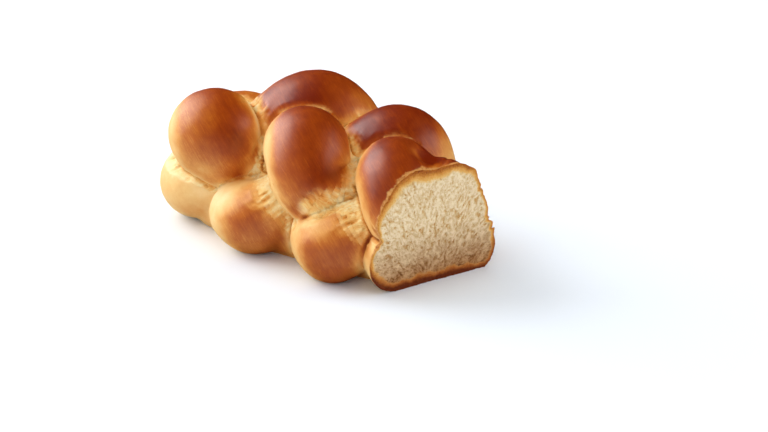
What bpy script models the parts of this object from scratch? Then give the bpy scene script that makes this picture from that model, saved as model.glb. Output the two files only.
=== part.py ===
"""A braided loaf with its near end cut off.

Four ropes of dough are plaited into a round braid. Seen from outside it is four rows of
swollen lobes: a top and a low row along the front, and the same along the back. Lobes of
neighbouring rows stand half a pitch apart, and each rope dives under its neighbour between
two of its own lobes. The far end is tucked into a rounded head. The near end is a flat cut.

Frame: the loaf lies along X with the cut at +X, the back is +Y and up is +Z. The origin is on
the floor, under the middle of the bounding box. Lengths are metres.
"""
import math
from typing import NamedTuple

import bmesh
import bpy
from mathutils import Matrix, Vector

MM = 0.001

# Driving dimensions of the braid
HALF_PITCH = 27.5 * MM          # along the loaf, from one crossing to the next
CENTRAL_CROSSING = 3            # the crossing that stands next to the middle of the loaf
CENTRAL_CROSSING_X = 11.9 * MM
CROSSINGS = 8
BACK_SHIFT = -0.83 * MM         # brings the middle of the loaf's width onto the X axis

# Where a rope lies when it runs inside the braid
AXIS_HEIGHT = 33.0 * MM
HIDDEN_RADIUS = 15.0 * MM
HIDDEN_PULL = 0.45              # how far it is drawn from its lobes to the axis

# The cut across the near end
CUT_X = 83.2 * MM
CUT_YAW = math.radians(-15.0)   # the blade stands a little skew to the loaf
CUT_LEAN = math.radians(10.0)   # and its top leans outwards

# Faceting of the solid
VOXEL = 2.2 * MM
KEPT_FACES = 0.262              # share of the voxel skin's triangles that is kept
POINTS_PER_SPAN = 8
BLOCK = 400 * MM                # edge of the blocks that cut


class Lobe(NamedTuple):
    """A swelling of a rope: where its middle is and how thick the rope is there."""

    x: float
    y: float
    z: float
    radius: float


class Shoulder(NamedTuple):
    """The rope beside a lobe's middle, from that middle, with its share of the radius."""

    along: float
    inward: float
    up: float
    share: float


# The four rows in millimetres: distance from the middle plane, height and radius
ROWS = {
    "front_top": Lobe(0, -22.0, 53.0, 21.5),
    "back_top": Lobe(0, 20.0, 50.5, 24.0),
    "front_low": Lobe(0, -36.0, 17.5, 18.8),
    "back_low": Lobe(0, 34.0, 18.5, 20.0),
}

# What the hand made uneven, in millimetres from the regular place and radius
UNEVEN = {
    ("front_low", 0): Lobe(-2.0, 23.0, 1.5, 0.7),
    ("back_top", 0): Lobe(6.0, -2.0, -8.0, -5.0),
    ("front_top", 1): Lobe(-5.5, 0.0, -2.5, 2.5),
    ("back_low", 1): Lobe(0.0, -2.0, 1.0, 1.0),
    ("front_low", 2): Lobe(3.0, 3.0, 0.5, 0.0),
    ("back_top", 2): Lobe(-1.5, 1.0, 3.0, 2.5),
    ("front_top", 3): Lobe(-0.5, 0.0, 2.0, 0.0),
    ("back_low", 3): Lobe(1.0, 2.0, 1.0, 1.5),
    ("front_low", 4): Lobe(2.5, -1.0, 0.0, 0.0),
    ("back_top", 4): Lobe(-2.5, 1.0, -1.0, -1.0),
    ("front_top", 5): Lobe(2.0, 0.0, -1.5, -0.8),
    ("back_low", 5): Lobe(1.0, -16.0, 0.0, -4.0),
    ("front_low", 6): Lobe(-12.0, 5.0, 0.5, 0.4),
    ("back_top", 6): Lobe(7.5, -28.0, -5.5, -5.2),
    ("front_top", 7): Lobe(0.0, 4.0, -13.0, -1.5),
    ("back_low", 7): Lobe(-10.0, -16.5, -1.0, -4.0),
}

# A top lobe comes over the ridge and hangs down outside; a low lobe climbs back inside
LEAD = {
    "top": Shoulder(-13.5, 12.0, -5.0, 0.87),
    "low": Shoulder(-12.0, 6.0, 0.0, 0.88),
}
TRAIL = {
    "top": Shoulder(12.0, -8.0, -14.0, 0.86),
    "low": Shoulder(14.0, 9.0, 11.0, 0.78),
}
LEAD_UNEVEN = {("front_low", 0): Shoulder(-4.0, 10.0, -1.0, 0.90)}
TRAIL_UNEVEN = {
    ("front_low", 0): Shoulder(13.0, -6.0, 4.0, 0.90),
    ("front_top", 1): Shoulder(9.0, 8.0, -12.0, 0.78),
    ("back_top", 4): Shoulder(9.0, -5.0, -19.0, 0.80),
}

# The row that each rope reaches at crossings 0, 1, 2 and 3, and then again from the first
ROUTES = {
    "a": ("back_top", "front_top", "front_low", "back_low"),
    "b": ("front_low", "back_low", "back_top", "front_top"),
    "c": ("front_low", "front_top", "back_top", "back_low"),
    "d": ("back_top", "back_low", "front_low", "front_top"),
}
FIRST_LOBE = {"a": 1, "b": 1, "c": 0, "d": 0}

# Two ropes are joined round the head by a short bend
HEAD_BENDS = {
    ("c", "d"): Lobe(-74.1, 4.0, 21.0, 18.5),
    ("a", "b"): Lobe(-61.1, 3.0, 34.0, 22.0),
}

# Dough that fills the braid from inside: distance from the middle plane, height and radius
FILLING = (
    Lobe(0, 0.0, 30.0, 26.0),
    Lobe(0, -17.5, 13.0, 17.5),
    Lobe(0, 0.0, 13.0, 17.5),
    Lobe(0, 17.5, 13.0, 17.5),
)
FILLING_ENDS = (-61.1, 122.9)
FILLING_POINTS = 20
FILLING_MIDDLE = 14.9
FILLING_TAPER = 118.0           # half the length over which the filling thins out
FILLING_TIP = 0.6               # the least share of its thickness that an end keeps

CRUST_COLOUR = (0.42, 0.17, 0.045, 1.0)
CRUST_ROUGHNESS = 0.42


def clear_scene():
    """Remove every object that the scene holds."""
    for thing in list(bpy.data.objects):
        bpy.data.objects.remove(thing, do_unlink=True)


def make_collection(name):
    """Return a new collection linked to the scene."""
    collection = bpy.data.collections.new(name)
    bpy.context.scene.collection.children.link(collection)
    return collection


def crust_material():
    """Return the baked crust's material."""
    material = bpy.data.materials.new("baked_crust")
    material.use_nodes = True
    shader = material.node_tree.nodes["Principled BSDF"]
    shader.inputs["Base Color"].default_value = CRUST_COLOUR
    shader.inputs["Roughness"].default_value = CRUST_ROUGHNESS
    shader.inputs["Metallic"].default_value = 0.0
    return material


def placed(x, y, z, radius):
    """Return millimetres of the braid as a lobe in the part's frame."""
    return Lobe(x * MM, y * MM + BACK_SHIFT, z * MM, radius * MM)


def lobe_middle(row, crossing):
    """Return the middle of the lobe of one row at one crossing, in millimetres."""
    regular = ROWS[row]
    uneven = UNEVEN[row, crossing]
    steps = crossing - CENTRAL_CROSSING
    x = (CENTRAL_CROSSING_X + steps * HALF_PITCH) / MM + uneven.x
    return Lobe(x, regular.y + uneven.y, regular.z + uneven.z, regular.radius + uneven.radius)


def beside(middle, shoulder, row):
    """Return the knot that a shoulder makes beside a lobe's middle."""
    inward = 1.0 if row.startswith("front") else -1.0
    return Lobe(
        middle.x + shoulder.along,
        middle.y + inward * shoulder.inward,
        middle.z + shoulder.up,
        middle.radius * shoulder.share,
    )


def lobe_knots(row, crossing):
    """Return the three knots of a lobe, along the rope."""
    level = row.split("_")[1]
    middle = lobe_middle(row, crossing)
    lead = LEAD_UNEVEN.get((row, crossing), LEAD[level])
    trail = TRAIL_UNEVEN.get((row, crossing), TRAIL[level])
    return [beside(middle, lead, row), middle, beside(middle, trail, row)]


def hidden_knot(before, after):
    """Return the knot of a rope that passes inside, between two of its lobes."""
    kept = 1.0 - HIDDEN_PULL
    return Lobe(
        (before.x + after.x) / 2,
        (before.y + after.y) / 2 * kept,
        (before.z + after.z) / 2 * kept + AXIS_HEIGHT / MM * HIDDEN_PULL,
        HIDDEN_RADIUS / MM,
    )


def rope_knots(rope):
    """Return the knots of one rope, from the head to past the cut."""
    knots = []
    for crossing in range(FIRST_LOBE[rope], CROSSINGS, 2):
        row = ROUTES[rope][crossing % len(ROUTES[rope])]
        lobe = lobe_knots(row, crossing)
        if knots:
            knots.append(hidden_knot(knots[-1], lobe[0]))
        knots.extend(lobe)
    return knots


def between(one, other, start, end, value):
    """Return the 4D point at value on the line that runs from start to end."""
    share = (value - start) / (end - start)
    return one.lerp(other, share)


def smooth_rope(knots):
    """Return points on a centripetal Catmull-Rom curve through the knots, radius included."""
    points = [Vector(knot) for knot in knots]
    points.insert(0, points[0] * 2 - points[1])
    points.append(points[-1] * 2 - points[-2])
    curve = []
    for p0, p1, p2, p3 in zip(points, points[1:], points[2:], points[3:]):
        times = [0.0]
        for one, other in ((p0, p1), (p1, p2), (p2, p3)):
            times.append(times[-1] + math.sqrt((other.xyz - one.xyz).length))
        t0, t1, t2, t3 = times
        for step in range(POINTS_PER_SPAN):
            t = t1 + (t2 - t1) * step / POINTS_PER_SPAN
            a1 = between(p0, p1, t0, t1, t)
            a2 = between(p1, p2, t1, t2, t)
            a3 = between(p2, p3, t2, t3, t)
            b1 = between(a1, a2, t0, t2, t)
            b2 = between(a2, a3, t1, t3, t)
            curve.append(between(b1, b2, t1, t2, t))
    curve.append(points[-2])
    return curve


def filling_knots(line):
    """Return the knots of one line of filling, thinner towards its ends."""
    first, last = FILLING_ENDS
    knots = []
    for index in range(FILLING_POINTS):
        x = first + (last - first) * index / (FILLING_POINTS - 1)
        reach = abs(x - FILLING_MIDDLE) / FILLING_TAPER
        thin = max(FILLING_TIP, 1.0 - reach ** 3)
        knots.append(Vector((x, line.y * thin, line.z * thin, line.radius * thin)))
    return knots


def make_tube(name, points, collection):
    """Return a closed mesh tube along the points, as thick as each point's radius."""
    curve = bpy.data.curves.new(name, "CURVE")
    curve.dimensions = "3D"
    curve.bevel_depth = 1.0
    curve.bevel_resolution = 6
    curve.use_fill_caps = True
    spline = curve.splines.new("POLY")
    spline.points.add(len(points) - 1)
    for target, point in zip(spline.points, points):
        knot = placed(*point)
        target.co = (knot.x, knot.y, knot.z, 1.0)
        target.radius = knot.radius
    tube = bpy.data.objects.new(name, curve)
    collection.objects.link(tube)
    return curve_to_mesh(tube)


def curve_to_mesh(tube):
    """Turn a curve object into a mesh object of the same name, with its caps welded."""
    depsgraph = bpy.context.evaluated_depsgraph_get()
    mesh = bpy.data.meshes.new_from_object(tube.evaluated_get(depsgraph))
    shell = bmesh.new()
    shell.from_mesh(mesh)
    bmesh.ops.remove_doubles(shell, verts=shell.verts, dist=0.01 * MM)
    bmesh.ops.recalc_face_normals(shell, faces=shell.faces)
    shell.to_mesh(mesh)
    shell.free()
    name = tube.name
    collection = tube.users_collection[0]
    place = tube.matrix_world.copy()
    bpy.data.objects.remove(tube)
    piece = bpy.data.objects.new(name, mesh)
    collection.objects.link(piece)
    piece.matrix_world = place
    return piece


def make_ropes(collection):
    """Return the ropes of the braid, each pair joined round the head into one tube."""
    tubes = []
    for (first, second), bend in HEAD_BENDS.items():
        knots = rope_knots(first)[::-1] + [bend] + rope_knots(second)
        tubes.append(make_tube(f"rope_{first}{second}", smooth_rope(knots), collection))
    return tubes


def make_filling(collection):
    """Return the tubes of dough inside the braid."""
    tubes = []
    for index, line in enumerate(FILLING):
        tubes.append(make_tube(f"filling_{index}", filling_knots(line), collection))
    return tubes


def join(pieces, name):
    """Join mesh objects into the first and name it."""
    joined = bmesh.new()
    for piece in pieces:
        joined.from_mesh(piece.data)
    target = pieces[0]
    joined.to_mesh(target.data)
    joined.free()
    for piece in pieces[1:]:
        bpy.data.objects.remove(piece)
    target.name = name
    target.data.name = name
    return target


def grow_together(loaf):
    """Melt the overlapping tubes into one skin of even faces, then thin its triangles."""
    skin = loaf.modifiers.new("one_skin", "REMESH")
    skin.mode = "VOXEL"
    skin.voxel_size = VOXEL
    bpy.context.view_layer.update()
    depsgraph = bpy.context.evaluated_depsgraph_get()
    loaf.data = bpy.data.meshes.new_from_object(loaf.evaluated_get(depsgraph))
    loaf.modifiers.remove(skin)
    fill_bubbles(loaf.data)
    thin = loaf.modifiers.new("fewer_faces", "DECIMATE")
    thin.ratio = KEPT_FACES


def fill_bubbles(mesh):
    """Keep the outer skin only, so that no bubble is left where tubes overlapped."""
    skin = bmesh.new()
    skin.from_mesh(mesh)
    unseen = set(skin.verts)
    islands = []
    while unseen:
        reached = [unseen.pop()]
        for vertex in reached:
            near = {edge.other_vert(vertex) for edge in vertex.link_edges} & unseen
            unseen -= near
            reached.extend(near)
        islands.append(reached)
    outer = max(islands, key=len)
    inner = [vertex for island in islands if island is not outer for vertex in island]
    bmesh.ops.delete(skin, geom=inner, context="VERTS")
    skin.to_mesh(mesh)
    skin.free()


def make_block(name, turn, collection):
    """Return a cutting block that reaches from the origin along +X of its turned frame."""
    block = bpy.data.meshes.new(name)
    cube = bmesh.new()
    bmesh.ops.create_cube(cube, size=BLOCK, matrix=Matrix.Translation((BLOCK / 2, 0, 0)))
    cube.to_mesh(block)
    cube.free()
    cutter = bpy.data.objects.new(name, block)
    cutter.matrix_world = turn
    cutter.hide_render = True
    cutter.display_type = "WIRE"
    collection.objects.link(cutter)
    return cutter


def knife_cut(collection):
    """Return the block that takes off everything past the cut."""
    turn = Matrix.Rotation(CUT_YAW, 4, "Z") @ Matrix.Rotation(CUT_LEAN, 4, "Y")
    return make_block("knife_cut", Matrix.Translation((CUT_X, 0, 0)) @ turn, collection)


def baking_tray(collection):
    """Return the block that flattens the underside at floor height."""
    down = Matrix.Rotation(math.radians(90.0), 4, "Y")
    return make_block("baking_tray", down, collection)


def cut_away(loaf, cutter):
    """Take a cutter's volume off the loaf."""
    cut = loaf.modifiers.new(cutter.name, "BOOLEAN")
    cut.operation = "DIFFERENCE"
    cut.solver = "EXACT"
    cut.object = cutter


def build_loaf():
    """Build the braided loaf."""
    clear_scene()
    parts = make_collection("braided_loaf")
    cutters = make_collection("cutters")
    loaf = join(make_ropes(parts) + make_filling(parts), "loaf")
    grow_together(loaf)
    cut_away(loaf, knife_cut(cutters))
    cut_away(loaf, baking_tray(cutters))
    loaf.data.materials.clear()
    loaf.data.materials.append(crust_material())


build_loaf()
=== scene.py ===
"""Looks of a braided loaf: its glazed and torn crust, its cut face of open crumb, and a studio.

The loaf is grown from the braid's four ropes. They are swept as tubes, melted into one skin and
measured against the ropes' own lines, so that every point knows its rope, how far along and round
it the point lies, how openly it faced the oven and how near the next crease is. Browning, tears
and wrinkles all follow from that. Then a knife plane and the baking tray's plane cut the skin, and
the cut face is filled with crumb whose pores are real relief. Lengths are metres.
"""
import itertools
import logging
import math
from collections.abc import Iterator
from contextlib import contextmanager
from dataclasses import dataclass, field
from enum import Enum
from typing import ClassVar

import bmesh
import bpy
import numpy as np
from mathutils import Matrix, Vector
from mathutils.geometry import delaunay_2d_cdt

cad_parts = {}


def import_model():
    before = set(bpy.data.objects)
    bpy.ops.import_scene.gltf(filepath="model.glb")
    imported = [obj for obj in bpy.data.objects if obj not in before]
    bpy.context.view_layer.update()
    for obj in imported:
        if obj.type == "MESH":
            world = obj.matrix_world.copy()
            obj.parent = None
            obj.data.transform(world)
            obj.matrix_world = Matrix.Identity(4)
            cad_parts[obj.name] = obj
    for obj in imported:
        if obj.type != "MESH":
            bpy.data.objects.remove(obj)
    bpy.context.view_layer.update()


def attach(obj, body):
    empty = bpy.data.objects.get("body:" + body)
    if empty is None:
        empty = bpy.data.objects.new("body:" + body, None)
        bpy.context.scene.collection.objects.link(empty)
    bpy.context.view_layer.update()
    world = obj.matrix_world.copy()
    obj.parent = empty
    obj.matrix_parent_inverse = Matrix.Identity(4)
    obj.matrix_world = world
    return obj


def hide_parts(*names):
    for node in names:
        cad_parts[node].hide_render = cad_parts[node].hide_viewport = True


LOG = logging.getLogger("braided_loaf")
MM = 0.001
TINY = 1e-6
LITRES_IN_CUBE = 1000.0
NODE = "loaf"
BODY = "root"

# Primes, a shift and a 32-bit word, from which lattice_value mixes its numbers.
LATTICE_PRIMES = (73856093, 19349663, 83492791)
SEED_PRIME = 974711
SEED_START = 12289
MIXER = np.uint64(2654435761)
SHIFT = np.uint64(15)
WORD = np.uint64(0xFFFFFFFF)


class Row(Enum):
    """The four rows of lobes that a round braid of four ropes shows."""

    FRONT_TOP = "front_top"
    BACK_TOP = "back_top"
    FRONT_LOW = "front_low"
    BACK_LOW = "back_low"

    @property
    def is_top(self) -> bool:
        """Tell whether the row is one of the two upper ones."""
        return self in (Row.FRONT_TOP, Row.BACK_TOP)

    @property
    def inward(self) -> float:
        """Return the sign of Y that points from this row to the middle of the loaf."""
        return 1.0 if self in (Row.FRONT_TOP, Row.FRONT_LOW) else -1.0


@dataclass(frozen=True)
class Knot:
    """A place on a rope, in millimetres, with the rope's radius and state there."""

    x: float
    y: float
    z: float
    radius: float
    bare: float = 1.0
    tone: float = 0.0

    def row(self) -> list[float]:
        """Return the knot's values as a list."""
        return [self.x, self.y, self.z, self.radius, self.bare, self.tone]


@dataclass(frozen=True)
class Shoulder:
    """The rope beside a lobe's middle, in millimetres from it, with its share of the radius."""

    along: float
    inward: float
    up: float
    share: float


def soften(share: np.ndarray) -> np.ndarray:
    """Return shares from 0 to 1 with a soft start and a soft end."""
    return share * share * (3.0 - 2.0 * share)


def add_object(name: str, data: bpy.types.ID) -> bpy.types.Object:
    """Put data into the scene.

    Args:
        name: The object's name.
        data: The object's curve, lamp or camera.

    Returns:
        The new object.
    """
    item = bpy.data.objects.new(name, data)
    bpy.context.scene.collection.objects.link(item)
    return item


@contextmanager
def opened(mesh: bpy.types.Mesh) -> Iterator[bmesh.types.BMesh]:
    """Open a mesh for editing, and write the edits back at the end.

    Args:
        mesh: The mesh to edit.

    Returns:
        The mesh's editable shell, for as long as the with block lasts.
    """
    shell = bmesh.new()
    shell.from_mesh(mesh)
    yield shell
    shell.to_mesh(mesh)
    shell.free()


@dataclass(frozen=True)
class Step:
    """A soft step from 0 at low to 1 at high; high may be the smaller one."""

    low: float
    high: float

    def of(self, value: np.ndarray) -> np.ndarray:
        """Return the stepped values."""
        return soften(np.clip((value - self.low) / (self.high - self.low), 0.0, 1.0))


def lattice_value(cell: np.ndarray, seed: int) -> np.ndarray:
    """Return a fixed pseudo-random number from 0 to 1 for each lattice cell.

    Args:
        cell: Whole-numbered lattice places, one a row.
        seed: A number that makes one pattern differ from another.

    Returns:
        One number for each row.
    """
    key = np.full(len(cell), seed * SEED_PRIME + SEED_START, dtype=np.uint64)
    for column, prime in zip(cell.T, LATTICE_PRIMES):
        key = (key ^ (column.astype(np.uint64) * np.uint64(prime))) & WORD
        key = (key * MIXER) & WORD
        key = key ^ (key >> SHIFT)
    return key.astype(float) / float(WORD)


def noise(places: np.ndarray, seed: int) -> np.ndarray:
    """Return smooth value noise from -1 to 1.

    Args:
        places: Points in units of the noise's cell, one a row, in two or three dimensions.
        seed: A number that makes one pattern differ from another.

    Returns:
        One value for each point.
    """
    cell = np.floor(places).astype(np.int64)
    part = soften(places - cell)
    total = np.zeros(len(places))
    for corner in itertools.product((0, 1), repeat=places.shape[1]):
        weight = np.prod(np.where(np.array(corner) == 1, part, 1.0 - part), axis=1)
        total += weight * lattice_value(cell + np.array(corner), seed)
    return total * 2.0 - 1.0


def pores(places: np.ndarray, seed: int) -> np.ndarray:
    """Return how far each point is from the nearest bubble's middle, as in foam.

    Args:
        places: Points in units of the foam's cell, in two dimensions.
        seed: A number that makes one pattern differ from another.

    Returns:
        The distance to the nearest bubble's middle, in cells.
    """
    cell = np.floor(places).astype(np.int64)
    nearest = np.full(len(places), np.inf)
    for step in itertools.product((-1, 0, 1), repeat=2):
        other = cell + np.array(step)
        middle = other + np.stack([lattice_value(other, seed), lattice_value(other, seed + 1)], 1)
        nearest = np.minimum(nearest, np.linalg.norm(places - middle, axis=1))
    return nearest


@dataclass(frozen=True)
class Pattern:
    """A fixed random pattern: its cell's size in metres, its seed and how many layers it has.

    Each layer is finer and weaker than the one before it. A pattern of one layer reaches from -1
    to 1, and one of several layers roughly so.
    """

    cell: float
    seed: int
    layers: int = 1
    FINER: ClassVar[float] = 2.03
    WEAKER: ClassVar[float] = 0.55
    SEED_STEP: ClassVar[int] = 17
    FULL_REACH: ClassVar[float] = 1.4

    def at(self, points: np.ndarray) -> np.ndarray:
        """Return the pattern's value at each point.

        Args:
            points: Points in metres, one a row.

        Returns:
            One value for each point.
        """
        places = points / self.cell
        if self.layers == 1:
            return noise(places, self.seed)
        total = np.zeros(len(places))
        for layer in range(self.layers):
            finer = noise(places * self.FINER ** layer, self.seed + self.SEED_STEP * layer)
            total += finer * self.WEAKER ** layer
        return total / self.FULL_REACH


@dataclass
class Braid:
    """The plan of the braid: rows, lobes and the routes that its four ropes take.

    Lengths are in millimetres. A lobe that is uneven has its own change of place, radius and tone.
    """

    half_pitch: float = 27.5
    central_crossing: int = 3
    central_x: float = 11.9
    back_shift: float = -0.83
    crossings: int = 8
    axis_height: float = 33.0
    hidden_radius: float = 15.0
    hidden_pull: float = 0.45
    points_per_span: int = 12
    rows: dict[Row, Knot] = field(default_factory=lambda: {
        Row.FRONT_TOP: Knot(0, -22.0, 53.0, 21.5),
        Row.BACK_TOP: Knot(0, 20.0, 50.5, 24.0),
        Row.FRONT_LOW: Knot(0, -36.0, 17.5, 18.8),
        Row.BACK_LOW: Knot(0, 34.0, 18.5, 20.0),
    })
    uneven: dict[tuple[Row, int], Knot] = field(default_factory=lambda: {
        (Row.FRONT_LOW, 0): Knot(-2.0, 23.0, 1.5, 0.7, tone=-0.50),
        (Row.BACK_TOP, 0): Knot(6.0, -2.0, -8.0, -5.0, tone=-0.28),
        (Row.FRONT_TOP, 1): Knot(-5.5, 0.0, -2.5, 2.5, tone=-0.02),
        (Row.BACK_LOW, 1): Knot(0.0, -2.0, 1.0, 1.0),
        (Row.FRONT_LOW, 2): Knot(3.0, 3.0, 0.5, 0.0, tone=-0.12),
        (Row.BACK_TOP, 2): Knot(-1.5, 1.0, 3.0, 2.9, tone=0.0),
        (Row.FRONT_TOP, 3): Knot(-0.5, 0.0, 2.0, 0.0, tone=0.02),
        (Row.BACK_LOW, 3): Knot(1.0, 2.0, 1.0, 1.5),
        (Row.FRONT_LOW, 4): Knot(2.5, -1.0, 0.0, 0.0, tone=-0.06),
        (Row.BACK_TOP, 4): Knot(-2.5, 1.0, -1.0, -1.0, tone=0.08),
        (Row.FRONT_TOP, 5): Knot(2.0, 0.0, -1.5, -0.8),
        (Row.BACK_LOW, 5): Knot(1.0, -16.0, 0.0, -4.0),
        (Row.FRONT_LOW, 6): Knot(-12.0, 5.0, 0.5, 0.4, tone=-0.36),
        (Row.BACK_TOP, 6): Knot(7.5, -28.0, -5.5, -5.2),
        (Row.FRONT_TOP, 7): Knot(0.0, 4.0, -13.0, -1.5),
        (Row.BACK_LOW, 7): Knot(-10.0, -16.5, -1.0, -4.0),
    })
    lead_top: Shoulder = Shoulder(-13.5, 12.0, -5.0, 0.87)
    lead_low: Shoulder = Shoulder(-12.0, 6.0, 0.0, 0.88)
    trail_top: Shoulder = Shoulder(12.0, -8.0, -14.0, 0.86)
    trail_low: Shoulder = Shoulder(14.0, 9.0, 11.0, 0.78)
    lead_uneven: dict[tuple[Row, int], Shoulder] = field(default_factory=lambda: {
        (Row.FRONT_LOW, 0): Shoulder(-4.0, 10.0, -1.0, 0.90),
    })
    trail_uneven: dict[tuple[Row, int], Shoulder] = field(default_factory=lambda: {
        (Row.FRONT_LOW, 0): Shoulder(13.0, -6.0, 4.0, 0.90),
        (Row.FRONT_TOP, 1): Shoulder(9.0, 8.0, -12.0, 0.78),
        (Row.BACK_TOP, 4): Shoulder(9.0, -5.0, -19.0, 0.80),
    })
    lead_bare: float = 0.66
    trail_bare_top: float = 0.55
    trail_bare_low: float = 0.0
    trail_bare_uneven: dict[tuple[Row, int], float] = field(default_factory=lambda: {
        (Row.FRONT_LOW, 0): 0.80,
        (Row.FRONT_TOP, 3): 0.74,
    })
    routes: dict[str, tuple[Row, ...]] = field(default_factory=lambda: {
        "a": (Row.BACK_TOP, Row.FRONT_TOP, Row.FRONT_LOW, Row.BACK_LOW),
        "b": (Row.FRONT_LOW, Row.BACK_LOW, Row.BACK_TOP, Row.FRONT_TOP),
        "c": (Row.FRONT_LOW, Row.FRONT_TOP, Row.BACK_TOP, Row.BACK_LOW),
        "d": (Row.BACK_TOP, Row.BACK_LOW, Row.FRONT_LOW, Row.FRONT_TOP),
    })
    first_lobe: dict[str, int] = field(default_factory=lambda: {"a": 1, "b": 1, "c": 0, "d": 0})
    head_bends: dict[tuple[str, str], Knot] = field(default_factory=lambda: {
        ("c", "d"): Knot(-74.1, 4.0, 21.0, 18.5, 0.8, -0.15),
        ("a", "b"): Knot(-61.1, 3.0, 34.0, 22.0, 0.3, -0.1),
    })
    filling: tuple[Knot, ...] = (
        Knot(0, 0.0, 30.0, 26.0, 0.0),
        Knot(0, -17.5, 13.0, 17.5, 0.0),
        Knot(0, 0.0, 13.0, 17.5, 0.0),
        Knot(0, 17.5, 13.0, 17.5, 0.0),
    )
    filling_ends: tuple[float, float] = (-61.1, 122.9)
    filling_points: int = 20
    filling_middle: float = 14.9
    filling_taper: float = 118.0
    filling_tip: float = 0.6
    lumps: tuple[tuple[Knot, ...], ...] = (
        (
            Knot(58, 5, 36.0, 6.0),
            Knot(76, 3, 38.0, 10.0),
            Knot(92, 1, 39.5, 12.2),
            Knot(112, -2, 41.0, 12.2),
        ),
        (
            Knot(64, -12, 47.0, 7.0),
            Knot(81, -14, 54.2, 9.0),
            Knot(93, -17, 52.8, 9.2),
            Knot(108, -17, 53.0, 9.2),
        ),
        (
            Knot(66, -5, 45.0, 9.5),
            Knot(82, -7, 49.8, 12.5),
            Knot(93, -9, 49.0, 12.5),
            Knot(108, -9, 48.5, 12.5),
        ),
    )

    def lobe_middle(self, row: Row, crossing: int) -> Knot:
        """Return the middle of one row's lobe at one crossing.

        Args:
            row: The row of lobes.
            crossing: The crossing's number, counted from the head.

        Returns:
            The lobe's middle, moved and resized as that lobe is uneven.
        """
        regular = self.rows[row]
        uneven = self.uneven[row, crossing]
        x = self.central_x + (crossing - self.central_crossing) * self.half_pitch
        return Knot(
            x + uneven.x,
            regular.y + uneven.y,
            regular.z + uneven.z,
            regular.radius + uneven.radius,
            1.0,
            uneven.tone,
        )

    def beside(self, middle: Knot, shoulder: Shoulder, row: Row, bare: float) -> Knot:
        """Return the knot that a shoulder makes beside a lobe's middle.

        Args:
            middle: The lobe's middle.
            shoulder: The offsets of the shoulder.
            row: The row that the lobe belongs to.
            bare: How openly the shoulder faces the oven, from 0 to 1.

        Returns:
            The shoulder's knot.
        """
        return Knot(
            middle.x + shoulder.along,
            middle.y + row.inward * shoulder.inward,
            middle.z + shoulder.up,
            middle.radius * shoulder.share,
            bare,
            middle.tone,
        )

    def lobe_knots(self, row: Row, crossing: int) -> list[Knot]:
        """Return the three knots of a lobe.

        Args:
            row: The row of lobes.
            crossing: The crossing's number, counted from the head.

        Returns:
            The knots in order along the lobe's rope.
        """
        middle = self.lobe_middle(row, crossing)
        lead = self.lead_uneven.get((row, crossing), self.lead_top if row.is_top else self.lead_low)
        plain = self.trail_top if row.is_top else self.trail_low
        trail = self.trail_uneven.get((row, crossing), plain)
        trail_bare = self.trail_bare_top if row.is_top else self.trail_bare_low
        return [
            self.beside(middle, lead, row, self.lead_bare),
            middle,
            self.beside(middle, trail, row, self.trail_bare_uneven.get((row, crossing), trail_bare)),
        ]

    def hidden_knot(self, before: Knot, after: Knot) -> Knot:
        """Return the knot of a rope that passes inside, between two of its lobes.

        Args:
            before: The last knot of the lobe before.
            after: The first knot of the lobe after.

        Returns:
            The hidden knot, pulled towards the loaf's axis.
        """
        kept = 1.0 - self.hidden_pull
        return Knot(
            (before.x + after.x) / 2,
            (before.y + after.y) / 2 * kept,
            (before.z + after.z) / 2 * kept + self.axis_height * self.hidden_pull,
            self.hidden_radius,
            0.0,
            (before.tone + after.tone) / 2,
        )

    def rope_knots(self, rope: str) -> list[Knot]:
        """Return the knots of one rope.

        Args:
            rope: The rope's letter.

        Returns:
            The knots from the head to past the cut.
        """
        route = self.routes[rope]
        knots: list[Knot] = []
        for crossing in range(self.first_lobe[rope], self.crossings, 2):
            lobe = self.lobe_knots(route[crossing % len(route)], crossing)
            if knots:
                knots.append(self.hidden_knot(knots[-1], lobe[0]))
            knots.extend(lobe)
        return knots

    def smooth(self, knots: list[Knot]) -> np.ndarray:
        """Return points on a centripetal Catmull-Rom curve through knots.

        Args:
            knots: The knots in order.

        Returns:
            Rows of x, y, z and radius in metres, then bare and tone.
        """
        rows = np.array([knot.row() for knot in knots])
        rows = np.vstack([2 * rows[0] - rows[1], rows, 2 * rows[-1] - rows[-2]])
        curve = []
        for p0, p1, p2, p3 in zip(rows, rows[1:], rows[2:], rows[3:]):
            steps = [math.sqrt(np.linalg.norm((b - a)[:3])) for a, b in ((p0, p1), (p1, p2), (p2, p3))]
            t0, t1, t2, t3 = np.concatenate([[0.0], np.cumsum(steps)])
            for t in np.linspace(t1, t2, self.points_per_span, endpoint=False):
                a1 = p0 + (p1 - p0) * (t - t0) / (t1 - t0)
                a2 = p1 + (p2 - p1) * (t - t1) / (t2 - t1)
                a3 = p2 + (p3 - p2) * (t - t2) / (t3 - t2)
                b1 = a1 + (a2 - a1) * (t - t0) / (t2 - t0)
                b2 = a2 + (a3 - a2) * (t - t1) / (t3 - t1)
                curve.append(b1 + (b2 - b1) * (t - t1) / (t2 - t1))
        curve.append(rows[-2])
        return self.to_metres(np.array(curve))

    def to_metres(self, rows: np.ndarray) -> np.ndarray:
        """Return rows of knots in metres, moved onto the loaf's middle plane.

        Args:
            rows: Rows that begin with x, y, z and radius in millimetres.

        Returns:
            The rows, changed in their first four values.
        """
        rows = rows.copy()
        rows[:, 1] += self.back_shift
        rows[:, :4] *= MM
        return rows

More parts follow.
